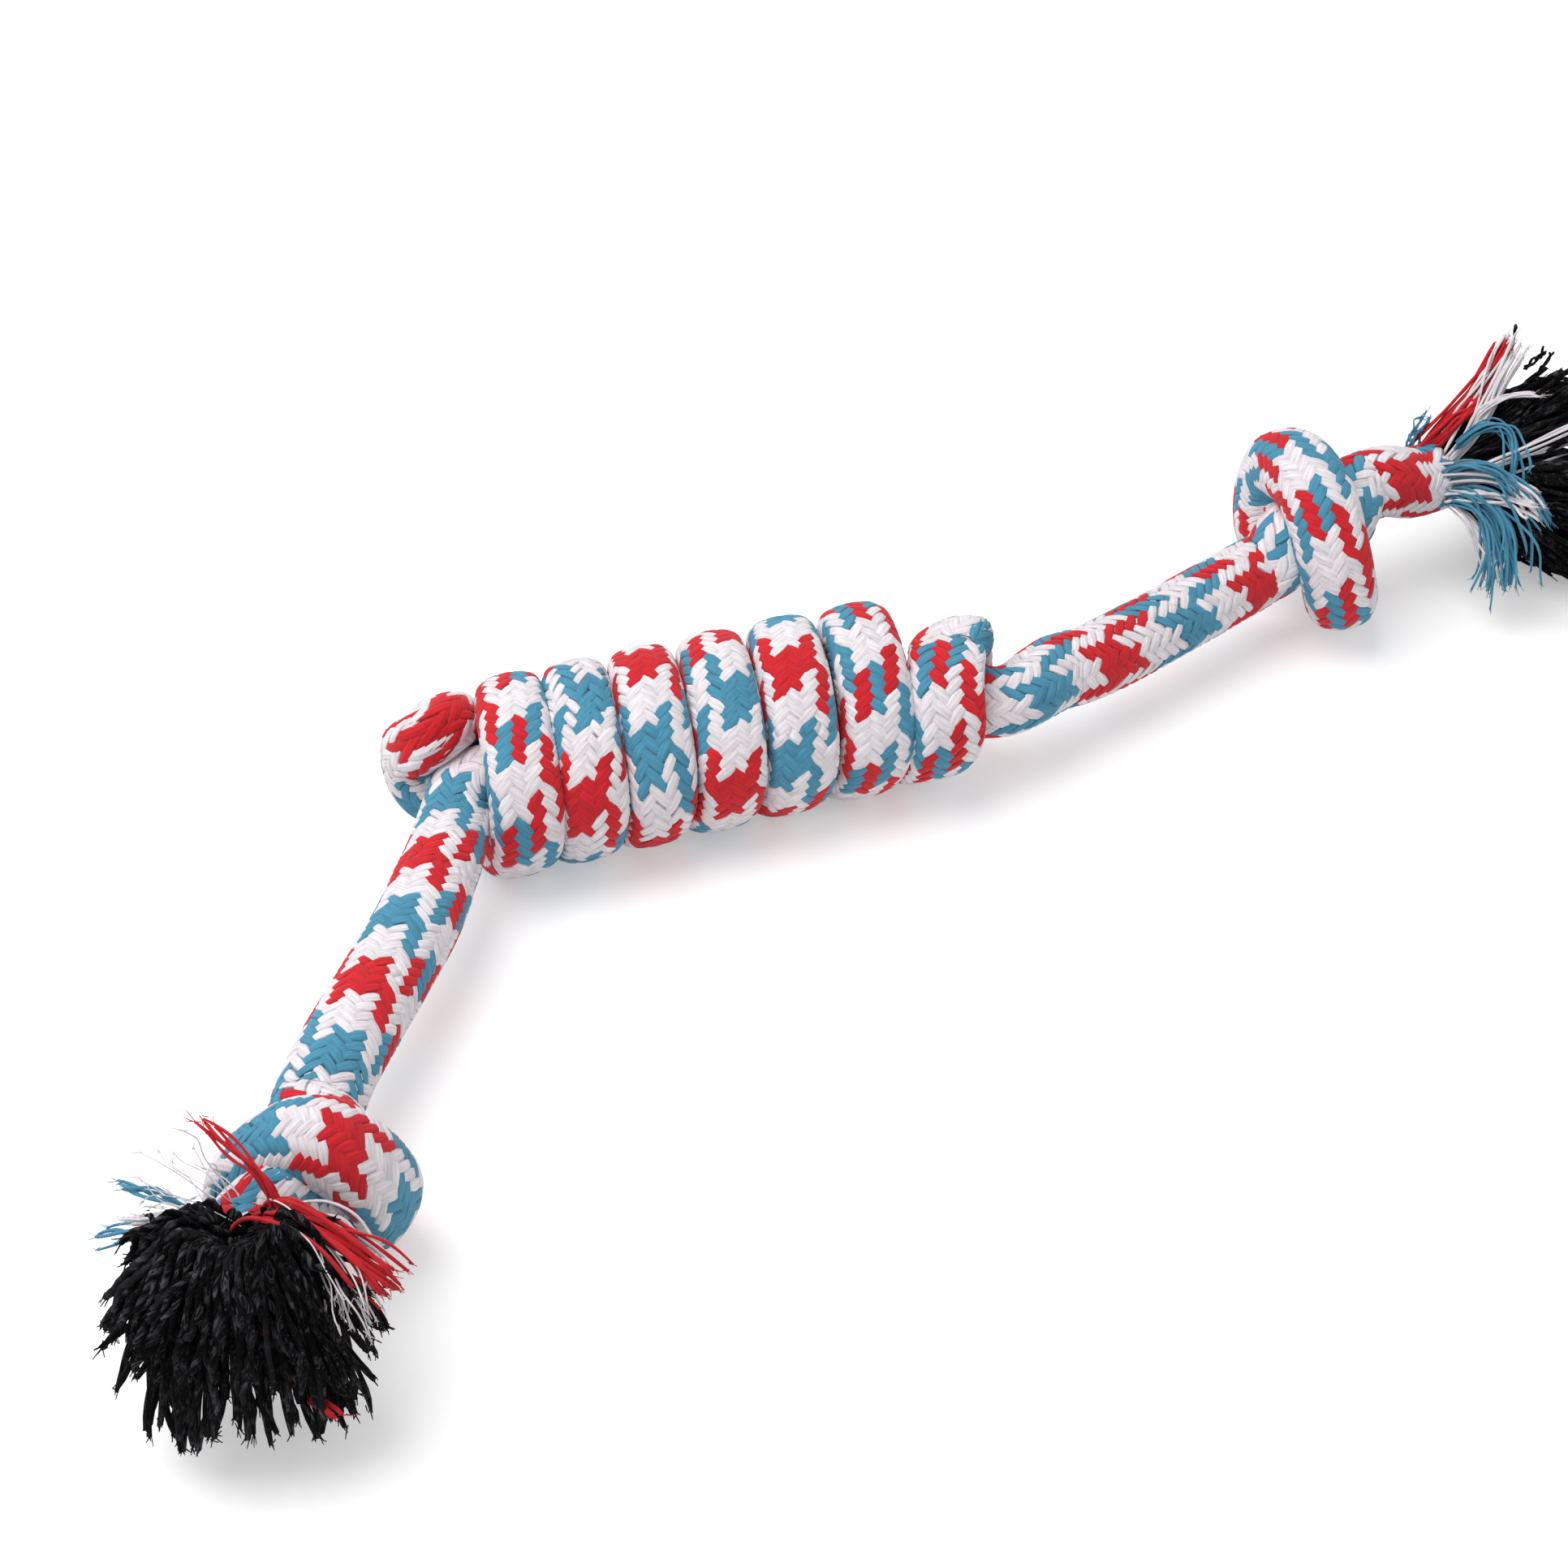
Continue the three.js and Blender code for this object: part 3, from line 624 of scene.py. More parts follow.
class Parts:
    """Collects tubes of quads that make up one mesh. In the picture layout, the margin between
    two rows is a share of a face, and the spare widens the square's edge."""

    LAYOUT_MARGIN = 0.5
    LAYOUT_SPARE = 1.04

    def __init__(self):
        self.points, self.quads, self.places = [], [], []
        self.layers = {}
        self.count = 0

    def add_tubes(self, points, layers, cell):
        """Closed tubes with an even number of sides: points has one row for each tube, step and
        side. cell is the size of one face, along and across, which shapes its share of the
        picture layout."""
        tubes, steps, sides, _ = points.shape
        number = np.arange(tubes * steps * sides).reshape(tubes, steps, sides) + self.count
        after = np.roll(number, -1, 2)
        faces = np.stack([number[:, :-1], number[:, 1:], after[:, 1:], after[:, :-1]], -1)
        faces = faces.reshape(-1, sides, 4)
        self.quads.append(faces.reshape(-1, 4))
        self.places.append((len(faces), sides, cell))
        caps = []
        for side in range(1, sides - 1, 2):
            caps.append(number[:, 0, [0, side, side + 1, side + 2]])
            caps.append(number[:, -1, [0, side + 2, side + 1, side]])
        caps = np.concatenate(caps)
        self.quads.append(caps)
        self.places.append((len(caps), 1, cell))
        self.points.append(points.reshape(-1, 3))
        self.count += tubes * steps * sides
        for name, values in layers.items():
            values = np.broadcast_to(values, (tubes, steps, sides))
            self.layers.setdefault(name, []).append(values.reshape(-1))

    def picture_layout(self):
        """Rows of faces side by side, each face as near its real shape as the square allows."""
        margin = self.LAYOUT_MARGIN
        total = sum(rows * (sides + margin) * math.prod(cell) for rows, sides, cell in self.places)
        edge = math.sqrt(total) * self.LAYOUT_SPARE
        bands, height = [], 0.0
        for rows, sides, cell in self.places:
            per_band = max(int(edge / cell[0]), 1)
            count = math.ceil(rows / per_band)
            bands.append((rows, sides, cell, per_band, height))
            height += count * (sides + margin) * cell[1]
        layout = []
        for rows, sides, cell, per_band, low in bands:
            row = np.arange(rows)
            u = (row % per_band)[:, None] / per_band
            v = (row // per_band)[:, None] * (sides + margin) + np.arange(sides) + margin / 2
            v = (low + v * cell[1]) / height
            u = np.broadcast_to(u, v.shape)
            wide, high = 1 / per_band, cell[1] / height
            corners = [(u, v), (u + wide, v), (u + wide, v + high), (u, v + high)]
            layout.append(np.stack([np.stack(c, -1) for c in corners], 2).reshape(-1, 2))
        return np.concatenate(layout)

    def piece(self, name, material):
        layers = {key: np.concatenate(values) for key, values in self.layers.items()}
        return new_piece(name, np.concatenate(self.points), np.concatenate(self.quads), layers,
                         self.picture_layout(), material)


# The braid

CARRIERS = 16
STEPS_PER_PITCH = 64
BRAID_PITCH = 2.38 * ROPE
BRAID_STEP = BRAID_PITCH / STEPS_PER_PITCH
BRAID_SLOPE = math.atan(math.pi * ROPE / BRAID_PITCH)
STRAND_DYES = (1, 0, 2, 0)
WHITE, RED, BLUE, BLACK = 0, 1, 2, 3

# Where the braid has slid along and turned round the rope: reach in metres, slide as a share
# of the pitch, turn in degrees
BRAID_SHIFTS = (
    (0.061, 0.16, 34),
    (0.076, 0.22, 62),
    (0.088, 0.33, 65),
    (0.150, -0.01, 104),
    (0.165, 0.04, 80),
    (0.180, 0.10, 66),
    (0.194, 0.18, 61),
    (0.208, 0.25, 74),
    (0.337, 0.39, 12),
    (0.405, 0.34, -64),
    (0.418, 0.47, -46),
    (0.475, 0.73, -34),
    (0.487, 0.87, -26),
    (0.500, 0.99, 2),
    (0.556, 1.28, 55),
    (0.571, 1.38, 66),
    (0.582, 1.51, 92),
    (0.643, 1.71, 32),
    (0.656, 1.82, 58),
    (0.728, 1.65, -44),
    (0.741, 1.75, 8),
    (0.806, 1.80, 13),
    (0.818, 1.95, 40),
    (0.880, 2.10, 16),
    (1.006, 1.82, -30),
    (1.023, 1.80, -35),
    (1.044, 1.67, -22),
    (1.128, 1.65, -41),
    (1.185, 1.93, -60),
    (1.205, 1.85, -24),
)

# The strand's section: across as a share of its half width, and height as a share of its arch
STRAND_SECTION = ((-1.0, 0.0), (-0.5, 0.92), (0.5, 0.92), (1.0, 0.0))

# How uneven a strand is: how sharply it crosses others, how its width varies with its rise and
# along it, and how far it wanders, in radians. A wave's length is that of one radian of it, and
# PHASES is the range of the random starts of waves
CROSSING_POWER = 0.8
WIDTH_BY_RISE = 0.06
WIDTH_SWAY = 0.14
WIDTH_WAVE = 5.1 * MM
WANDER = 0.028
WANDER_WAVE = 3.7 * MM
PHASES = 6.3

# The lining under the strands, white cotton at full depth, so that the cotton's painted shade
# darkens it where it shows between them
LINING_GAP = 0.05 * MM
LINING_SIDES = 24
LINING_CELL = 0.8 * MM


def braid(name, start, end, material):
    """Thirty-two strands, two over two, round a lining, from one reach to another."""
    sizes = bpy.context.scene.rope_sizes
    steps = np.arange(round(start / BRAID_STEP), round(end / BRAID_STEP) + 1)
    reach = steps * BRAID_STEP
    keys = np.array(BRAID_SHIFTS).T
    phase = 2 * np.pi * (reach / BRAID_PITCH + np.interp(reach, keys[0], keys[1]))
    shift = np.radians(np.interp(reach, keys[0], keys[2]))
    count = np.arange(CARRIERS)[:, None]
    crossings = phase * CARRIERS / np.pi
    across = np.array([row[0] for row in STRAND_SECTION])
    rise = np.array([row[1] for row in STRAND_SECTION])
    parts = Parts()
    draw = np.random.default_rng(7)
    chances = draw.random((2, CARRIERS))
    swings = draw.random((2, CARRIERS, 3))
    waves = (crossings + 2 * count - 0.5, 2 * count - crossings - 2.5)
    for hand, wave, swing in zip((1, -1), waves, swings):
        height = np.cos(np.pi / 2 * wave)
        height = np.sign(height) * np.abs(height) ** CROSSING_POWER
        turn = 2 * np.pi * count / CARRIERS + hand * phase + shift
        sway = swing[..., 0, None] * np.sin(reach / WIDTH_WAVE + PHASES * swing[..., 1, None])
        half_width = sizes.strand_width / 2 * (1 + WIDTH_BY_RISE * height + WIDTH_SWAY * sway)
        turn = turn + WANDER * np.sin(reach / WANDER_WAVE + PHASES * swing[..., 2, None])
        offset = across * half_width[..., None]
        places = reach[None, :, None] - hand * offset * math.sin(BRAID_SLOPE)
        turns = turn[..., None] + offset * math.cos(BRAID_SLOPE) / (ROPE / 2)
        under = sizes.strand_relief * (1 - height[..., None]) + sizes.strand_arch * (1 - rise)
        points = route.surface(places, turns, under)
        if hand < 0:
            points = points[:, :, ::-1]
            under = under[:, :, ::-1]
        dye = np.array(STRAND_DYES)[np.arange(CARRIERS) // 4][:, None, None]
        sides = across if hand > 0 else across[::-1]
        # depth feeds the cotton's painted shade: a strand is darker where it dips under others and
        # towards its edges
        parts.add_tubes(points[:, :, ::-1], {
            "across": sides[::-1],
            "along": (reach / math.cos(BRAID_SLOPE))[None, :, None],
            "depth": under[:, :, ::-1] / (2 * sizes.strand_relief + sizes.strand_arch),
            "dye": dye,
            "chance": chances[0 if hand > 0 else 1][:, None, None],
        }, (BRAID_STEP / math.cos(BRAID_SLOPE), sizes.strand_width / 3))
    lining_under = 2 * sizes.strand_relief + sizes.strand_arch + LINING_GAP
    lining_reach = reach[::2] if len(reach) % 2 else np.append(reach[::2], reach[-1])
    around = np.arange(LINING_SIDES) / LINING_SIDES * 2 * np.pi
    turns = np.broadcast_to(around, (len(lining_reach), LINING_SIDES))
    outer = route.surface(np.broadcast_to(lining_reach[:, None], turns.shape), turns,
                          np.full(turns.shape, lining_under))
    # A depth of 1 gives the lining the cotton's deepest painted shade
    parts.add_tubes(outer[None], {
        "across": 0, "along": lining_reach[None, :, None], "depth": 1, "dye": WHITE, "chance": 0.5,
    }, (2 * BRAID_STEP, LINING_CELL))
    piece = parts.piece(name, material)
    return piece


# Yarns

# How far the plies of a yarn stand out, the share of its length that rounds its end, and a
# slanting direction from which its first sideways direction is worked out
PLY_LOBE = 0.16
YARN_END_SHARE = 0.02
YARN_START = np.array((0.31, 0.57, 0.76))

# The lengths in which yarns twist once, and the sides of their tubes
CORE_TWIST = 5 * MM
BLACK_TWIST = 4.2 * MM
DYED_TWIST = 3 * MM
BLACK_SIDES = 8
DYED_SIDES = 6
FIBRE_SIDES = 4

# The short fibres at the end of each yarn: radius, length and number
BLACK_FIBRES = (0.09 * MM, 1.1 * MM, 5)
DYED_FIBRES = (0.06 * MM, 1.2 * MM, 3)

# The black core of a stretch: rings of yarns as shares of its radius, with the number in each,
# its yarns' diameter as a share of a tassel's, the length of its lay, and the steps along it
CORE_RINGS = ((0.0, 1), (0.36, 6), (0.72, 12))
CORE_YARN_SHARE = 1.1
CORE_LAY = 60 * MM
CORE_STEP = 1.2 * MM

# The share of a half stretch, beside the handle or the end knot, over which it would bend; blended
# looks up its ends but doesn't bend the stretch
BEND_SHARE = 0.75


def yarn_tubes(lines, radius, ply_pitch, sides, plies, dye, chances, parts):
    """Twisted yarns along lines of points, one row for each yarn, with slightly rounded ends."""
    tangent = unit(np.gradient(lines, axis=1))
    steps = lines.shape[1]
    reach = np.concatenate([np.zeros((len(lines), 1)),
                            np.cumsum(np.linalg.norm(np.diff(lines, axis=1), axis=2), 1)], 1)
    normal = np.cross(tangent[:, 0], YARN_START)
    normals = np.empty_like(lines)
    for step in range(steps):
        normal = unit(normal - tangent[:, step] * (normal * tangent[:, step]).sum(-1)[:, None])
        normals[:, step] = normal
    side = np.cross(tangent, normals)
    around = np.arange(sides) / sides * 2 * np.pi
    twist = 2 * np.pi * reach[..., None] / ply_pitch + np.asarray(chances)[:, None, None] * PHASES
    lobes = 1 + (PLY_LOBE if plies > 1 else 0) * np.cos(plies * (around - twist))
    share = reach / reach[:, -1:]
    ends = np.sqrt(np.clip((1 - share) / YARN_END_SHARE + 0.5, 0, 1))
    size = np.asarray(radius).reshape(-1, 1) * ends
    spread = lobes * size[..., None]
    points = (lines[:, :, None] + normals[:, :, None] * (np.cos(around) * spread)[..., None]
              + side[:, :, None] * (np.sin(around) * spread)[..., None])
    mean_step = reach[:, -1].mean() / (steps - 1)
    # depth feeds the cotton's painted shade: a yarn is darker towards its start, deep in its
    # bundle, and lighter towards its end
    parts.add_tubes(points, {
        "across": np.cos(plies * (around - twist)) if plies > 1 else np.cos(around)[None, None],
        "along": reach[..., None],
        "depth": 0.5 - 0.5 * share[..., None],
        "dye": dye,
        "chance": np.asarray(chances)[:, None, None],
    }, (mean_step, 2 * np.pi * float(np.mean(radius)) / sides))


def bezier(corners, steps):
    """Points on cubic curves, from four corners for each curve."""
    share = np.linspace(0, 1, steps)[None, :, None]
    a, b, c, d = (corners[:, None, count] for count in range(4))
    return (a * (1 - share) ** 3 + 3 * b * share * (1 - share) ** 2
            + 3 * c * share ** 2 * (1 - share) + d * share ** 3)


# Outline rows of a tassel: shares of its length and of its half diameter
TUFT_ROWS = np.array((
    (0.00, 0.20), (0.02, 0.24), (0.08, 0.34), (0.16, 0.58), (0.26, 0.78), (0.38, 0.92),
    (0.52, 1.00), (0.68, 0.98), (0.82, 0.84), (0.93, 0.60), (1.00, 0.28),
))


# How finely the yarns of a tassel are drawn, the golden angle that spreads them evenly round
# it, and the radians of one of their waves
YARN_STEPS = 24
YARN_CORNERS = 8
LOCK_STEPS = 20
SMOOTHINGS = 6
GOLDEN_ANGLE = 2.39996
WAVE = 6.28


def smoothed_lines(corners, steps):
    """Soft curves that start and end at their first and last corners."""
    place = np.linspace(0, corners.shape[1] - 1, steps)
    low = np.minimum(place.astype(int), corners.shape[1] - 2)
    share = (place - low)[None, :, None]
    lines = corners[:, low] * (1 - share) + corners[:, low + 1] * share
    for _ in range(SMOOTHINGS):
        lines[:, 1:-1] = (lines[:, :-2] + 2 * lines[:, 1:-1] + lines[:, 2:]) / 4
    return lines


class Tuft:
    """The round mass of a tassel. Its own frame has the throat at the origin, X along the
    tassel and Z up. The yarns run like meridians from a crown to the surface."""

    def __init__(self, knot, length, diameter, bloom, tilt, droop, sway, middle, crown, neck,
                 opening):
        local = knot.tail_points(knot.stations())[-1]
        self.place = knot.turn @ local + knot.shift
        self.turn = about_z(knot.heading + knot.tail_turn)
        self.length = length
        self.radius = diameter / 2
        self.bloom = bloom
        self.tilt = tilt
        self.droop = droop
        self.sway = sway
        self.neck = neck
        self.opening = opening
        self.middle = np.array(middle) * MM
        self.pole = unit(np.array(crown) * MM - self.middle)
        self.east = unit(np.cross(self.pole, np.array((0.0, 1.0, 0.1))))
        self.north = np.cross(self.pole, self.east)

    def holds(self, points):
        """Whether points lie in the mass and over the floor."""
        share = (points[..., 0] - SEAT_GAP) / self.length
        row = np.clip(share, 0, 1) ** (1 / self.bloom)
        edge = np.interp(row, TUFT_ROWS[:, 0], TUFT_ROWS[:, 1]) * self.radius
        edge = edge + self.neck * np.exp(-6 * share)
        sag = (self.tilt + self.droop * share) * share * self.length
        out = np.hypot(points[..., 1] + self.sway * share * self.length, points[..., 2] + sag)
        return (out < edge) & (share > -0.02) & (share < 1) & (points[..., 2] > -self.place[2])

    def reach(self, away):
        """How far the surface is from the middle, in each direction."""
        low, high = np.zeros(away.shape[:-1]), np.full(away.shape[:-1], 60 * MM)
        for _ in range(12):
            middle = (low + high) / 2
            held = self.holds(self.middle + away * middle[..., None])
            low, high = np.where(held, middle, low), np.where(held, high, middle)
        return low

    def yarns(self, draw, count, ends, depths, bulges, ragged, curl):
        """Yarns over the whole mass. ends is the range of angles from the crown at which they
        end, depths the range of shares of the surface's reach near the crown, and bulges how
        far they keep to the surface instead of running straight. ragged is how unevenly long
        they are, and curl how far they wave."""
        share = np.linspace(0, 1, YARN_CORNERS)[None, :]
        azimuth = (np.arange(count) * GOLDEN_ANGLE + draw.normal(0, 0.1, count))[:, None]
        azimuth = azimuth + draw.normal(0, 0.16, (count, 1)) * share
        layer = draw.random((count, 1)) ** 0.6
        low, high = np.cos(np.radians(ends))
        end = np.arccos(low + (high - low) * draw.random((count, 1)))
        start = np.radians(4 + self.opening * layer)
        polar = start + np.maximum(end - start, 0.1) * share
        depth = depths[0] + (depths[1] - depths[0]) * layer
        tip = 1 + draw.normal(ragged * 0.3, ragged, (count, 1))
        depth = depth + (tip - depth) * share ** (1.2 + 2.5 * layer)
        away = (self.pole * np.cos(polar)[..., None]
                + self.east * (np.sin(polar) * np.cos(azimuth))[..., None]
                + self.north * (np.sin(polar) * np.sin(azimuth))[..., None])
        path = self.middle + away * (self.reach(away) * depth)[..., None]
        ramp = share[..., None]
        bulge = draw.uniform(*bulges, (count, 1, 1))
        chord = path[:, :1] * (1 - ramp) + path[:, -1:] * ramp
        path = chord + (path - chord) * bulge
        root = (path[:, 0] - self.middle - self.pole * self.reach(self.pole[None])[0])
        root[:, 0] = 0
        root = unit(root) * (CORE / 2 - 0.8 * MM) * layer ** 0.5
        first = root + np.array((-2 * MM, 0, 0))
        second = root + np.array((1 * MM, 0, 0))
        path = np.concatenate([first[:, None], second[:, None], path], 1)
        lines = smoothed_lines(path, YARN_STEPS)
        share = np.linspace(0, 1, YARN_STEPS)[None, :]
        for axis in range(3):
            for waves in (1.3, 3.1):
                swing = draw.normal(0, curl / waves, (count, 1)) * share
                lines[..., axis] += swing * np.sin(WAVE * (waves * share + draw.random((count, 1))))
        return lines

    def lock(self, draw, corners, count, root, tip, curl):
        """A lock of yarns along a curve given by four corners in millimetres, spread by root
        at its start and by tip at its end."""
        corners = np.array(corners) * MM
        spread = np.array((root, (root * 2 + tip) / 3, (root + tip * 2) / 3, tip)) * MM
        same = draw.normal(0, 0.6, (count, 1, 3))
        own = draw.normal(0, 0.35, (count, 4, 3))
        lines = bezier(corners[None] + (same + own) * spread[None, :, None], LOCK_STEPS)
        share = np.linspace(0, 1, LOCK_STEPS)[None, :]
        for axis in range(3):
            swing = draw.normal(0, curl, (count, 1)) * share
            lines[..., axis] += swing * np.sin(WAVE * (1.7 * share + draw.random((count, 1))))
        return lines

    def out(self, lines, radius):
        """Lines in the part's frame, kept over the floor."""
        world = lines @ self.turn.T + self.place
        low = np.asarray(radius) * 1.3
        uneven = low * (1 + 0.3 * np.sin(world[..., 0] * 900))
        world[..., 2] = np.where(world[..., 2] < low, uneven, world[..., 2])
        return world


LEFT_TUFT = Tuft(
    LEFT_KNOT, length=20 * MM, diameter=35 * MM, bloom=1.3, tilt=0.45, droop=0.1, sway=0,
    middle=(9.5, 0, -6), crown=(4, 0, 12), neck=7 * MM, opening=14)
RIGHT_TUFT = Tuft(
    RIGHT_KNOT, length=38 * MM, diameter=43 * MM, bloom=0.62, tilt=0, droop=0.2, sway=0.22,
    middle=(22, -4.5, -2), crown=(0, 0, 0.5), neck=5 * MM, opening=32)

# Where the rope's end would bend as its tassel flops: from and to, along the tuft. flopped works
# these places out but doesn't bend the pieces
LEFT_FLOP = (-3 * MM, 14 * MM)
RIGHT_FLOP = (-10 * MM, 0.0)


def frays(draw, lines, radius, length, count):
    """Lines of short fibres that stand out from the ends of yarns, count of them at each."""
    end = lines[:, -1]
    away = unit(lines[:, -1] - lines[:, -4])
    away = np.repeat(away, count, 0) + draw.normal(0, 0.3, (len(lines) * count, 3))
    start = np.repeat(end, count, 0) + draw.normal(0, radius * 0.4, (len(away), 3))
    lengths = length * draw.uniform(0.5, 1.4, (len(away), 1))
    bend = draw.normal(0, 0.2, away.shape)
    shares = np.linspace(0, 1, 5)[None, :, None]
    return (start[:, None] - away[:, None] * 0.6 * MM
            + (away[:, None] * shares + bend[:, None] * shares ** 2) * lengths[:, None])


def flopped(piece, side, tuft, start, end):
    """Bake a piece's transform into its mesh. The places from start to end along the tuft, between
    the end knot and the tassel, are worked out, but the piece isn't bent.
    """
    ends = [tuple(tuft.place + tuft.turn @ np.array((reach, 0.0, 0.0))) for reach in (start, end)]
    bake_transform(piece)


# Cotton and floor

class Wire:
    """A node's output that can be used in a Python expression."""

    def __init__(self, nodes, socket):
        self.nodes = nodes
        self.socket = socket

    def maths(self, operation, *values):
        sockets = dict(enumerate(values))
        return self.nodes.add("ShaderNodeMath", {"operation": operation}, sockets)

    def __add__(self, other):
        return self.maths("ADD", self, other)

    def __sub__(self, other):
        return self.maths("SUBTRACT", self, other)

    def __rsub__(self, other):
        return self.maths("SUBTRACT", other, self)

    def __mul__(self, other):
        return self.maths("MULTIPLY", self, other)

    def __gt__(self, other):
        return self.maths("GREATER_THAN", self, other)

    def __lt__(self, other):
        return self.maths("LESS_THAN", self, other)

    def sine(self):
        return self.maths("SINE", self)

    def size(self):
        return self.maths("ABSOLUTE", self)

    def clamped(self):
        return self.nodes.add("ShaderNodeClamp", {}, {"Value": self})

    __radd__ = __add__


class Nodes:
    """Adds the nodes of one tree."""

    def __init__(self, tree):
        self.tree = tree
        tree.nodes.clear()

    def add(self, kind, settings=None, sockets=None, output=0):
        node = self.tree.nodes.new(kind)
        for name, value in (settings or {}).items():
            setattr(node, name, value)
        for name, value in (sockets or {}).items():
            if isinstance(value, Wire):
                self.tree.links.new(value.socket, node.inputs[name])
            else:
                node.inputs[name].default_value = value
        return Wire(self, node.outputs[output] if len(node.outputs) else None)

    def layer(self, name):
        return self.add("ShaderNodeAttribute", {"attribute_name": name}, output="Fac")

    def mixed(self, first, second, share):
        settings = {"data_type": "RGBA", "clamp_factor": True}
        sockets = {"Factor": share, 6: first, 7: second}
        return self.add("ShaderNodeMix", settings, sockets, output=2)

    def darkened(self, colour, shade):
        settings = {"data_type": "RGBA", "blend_type": "MULTIPLY"}
        grey = self.add("ShaderNodeCombineColor", {}, {0: shade, 1: shade, 2: shade})
        return self.add("ShaderNodeMix", settings, {"Factor": 1.0, 6: colour, 7: grey}, output=2)

    def noise(self, place, scale, detail):
        sockets = {"Vector": place, "Scale": scale, "Detail": detail, "Roughness": 0.6}
        return self.add("ShaderNodeTexNoise", {}, sockets)

    def vector(self, x, y, z):
        return self.add("ShaderNodeCombineXYZ", {}, {0: x, 1: y, 2: z})


def with_alpha(colour):
    return (*colour, 1.0)


LIGHT_WHITE = with_alpha((1.0, 1.0, 1.0))

# How finely the cotton's mottle and the furrows between its plies repeat along and across it
MOTTLE = (260, 0.8)
FURROWS = 700


def cotton(name, grooves, streaks, fuzz, sheen, shine):
    """Dyed cotton, from the number layers of a braid or a yarn. streaks is how fine its fibres
    show along it and across it. It is darker where depth is greater and in the furrows between
    plies, as painted shade. Black yarns get pale painted highlights along them, and some whole
    yarns are paler, partly their own tone and partly painted highlight."""
    colours = bpy.context.scene.toy_colours
    material = bpy.data.materials.new(name)
    material.use_nodes = True
    nodes = Nodes(material.node_tree)
    across, along = nodes.layer("across"), nodes.layer("along")
    depth, dye, chance = nodes.layer("depth"), nodes.layer("dye"), nodes.layer("chance")
    hair = nodes.noise(nodes.vector(along * streaks[0], across * streaks[1], chance * 90), 1.0, 3.0)
    mottle = nodes.noise(nodes.vector(along * MOTTLE[0], across * MOTTLE[1], chance * 50), 1.0, 2.0)
    furrow = (across * grooves + along * FURROWS).sine() * 0.5 + 0.5
    red = (dye - RED).size() < 0.5
    blue = (dye - BLUE).size() < 0.5
    black = dye > 2.5
    colour = nodes.mixed(with_alpha(colours.white), with_alpha(colours.red), red)
    colour = nodes.mixed(colour, with_alpha(colours.blue), blue)
    colour = nodes.mixed(colour, with_alpha(colours.black), black)
    # shade multiplies the dye: painted shade where depth is greater and in the furrows between
    # plies, with tone that differs at random from hair, mottle and chance
    shade = 1.06 - depth * 0.26 + (hair - 0.5) * 0.5 + (mottle - 0.5) * 0.5
    shade = shade + (chance - 0.5) * (0.12 + black * 0.86) - furrow * 0.1
    # Painted highlights on black yarns: pale where mottle and hair run high, and some whole yarns
    # paler, partly their own tone and partly painted highlight
    painted_highlights = (mottle - 0.55).clamped() * 170.0 + (hair - 0.56).clamped() * 110.0
    shade = shade + black * (painted_highlights + (chance > 0.85) * 3.0)
    colour = nodes.darkened(colour, shade)
    bump = nodes.add("ShaderNodeBump", {}, {
        "Strength": 0.7, "Distance": fuzz, "Height": hair * 0.6 + furrow * -0.5 + mottle * 0.3,
    })
    shader = nodes.add("ShaderNodeBsdfPrincipled", {}, {
        "Base Color": colour,
        "Roughness": (0.82 + hair * 0.16).clamped(),
        "Normal": bump,
        "Sheen Weight": sheen,
        "Sheen Roughness": 0.5,
        "Specular IOR Level": shine,
    })
    nodes.add("ShaderNodeOutputMaterial", {}, {"Surface": shader})
    return material


def cotton_named(name, *finish):
    return bpy.data.materials.get(name) or cotton(name, *finish)


def braid_cotton():
    return cotton_named("Braided cotton", 9.0, (900, 5), 0.12 * MM, 0.12, 0.25)


def yarn_cotton():
    return cotton_named("Yarn cotton", 2.0, (500, 9), 0.1 * MM, 0.1, 0.25)


def black_cotton():
    return cotton_named("Black cotton", 2.0, (330, 3), 0.1 * MM, 0.0, 0.06)


# Sizes and colours that a user changes

def dyed(red, green, blue):
    """A display colour, 0 to 255, as the linear colour that a shader uses."""
    return tuple((v / 255 / 12.92 if v <= 10 else ((v / 255 + 0.055) / 1.055) ** 2.4)
                 for v in (red, green, blue))


class RopeSizes(bpy.types.PropertyGroup):
    """Sizes of the braid's strands and of the tassels' yarns."""

    strand_width: FloatProperty(
        name="Strand width", description="Width of one strand of the braid",
        default=1.98 * MM, min=0.5 * MM, max=3 * MM, unit="LENGTH")
    strand_relief: FloatProperty(
        name="Strand relief", description="How far a strand rises and falls as it crosses others",
        default=0.11 * MM, min=0.0, max=1 * MM, unit="LENGTH")
    strand_arch: FloatProperty(
        name="Strand arch", description="How far a strand's middle stands over its edges",
        default=0.24 * MM, min=0.05 * MM, max=1 * MM, unit="LENGTH")
    black_yarn: FloatProperty(
        name="Black yarn", description="Diameter of one black core yarn",
        default=0.95 * MM, min=0.3 * MM, max=3 * MM, unit="LENGTH")
    dyed_yarn: FloatProperty(
        name="Dyed yarn", description="Diameter of one red, blue or white yarn",
        default=0.75 * MM, min=0.2 * MM, max=2 * MM, unit="LENGTH")
    black_yarns: IntProperty(
        name="Black yarns", description="Number of black yarns in a tassel",
        default=340, min=20, max=600)


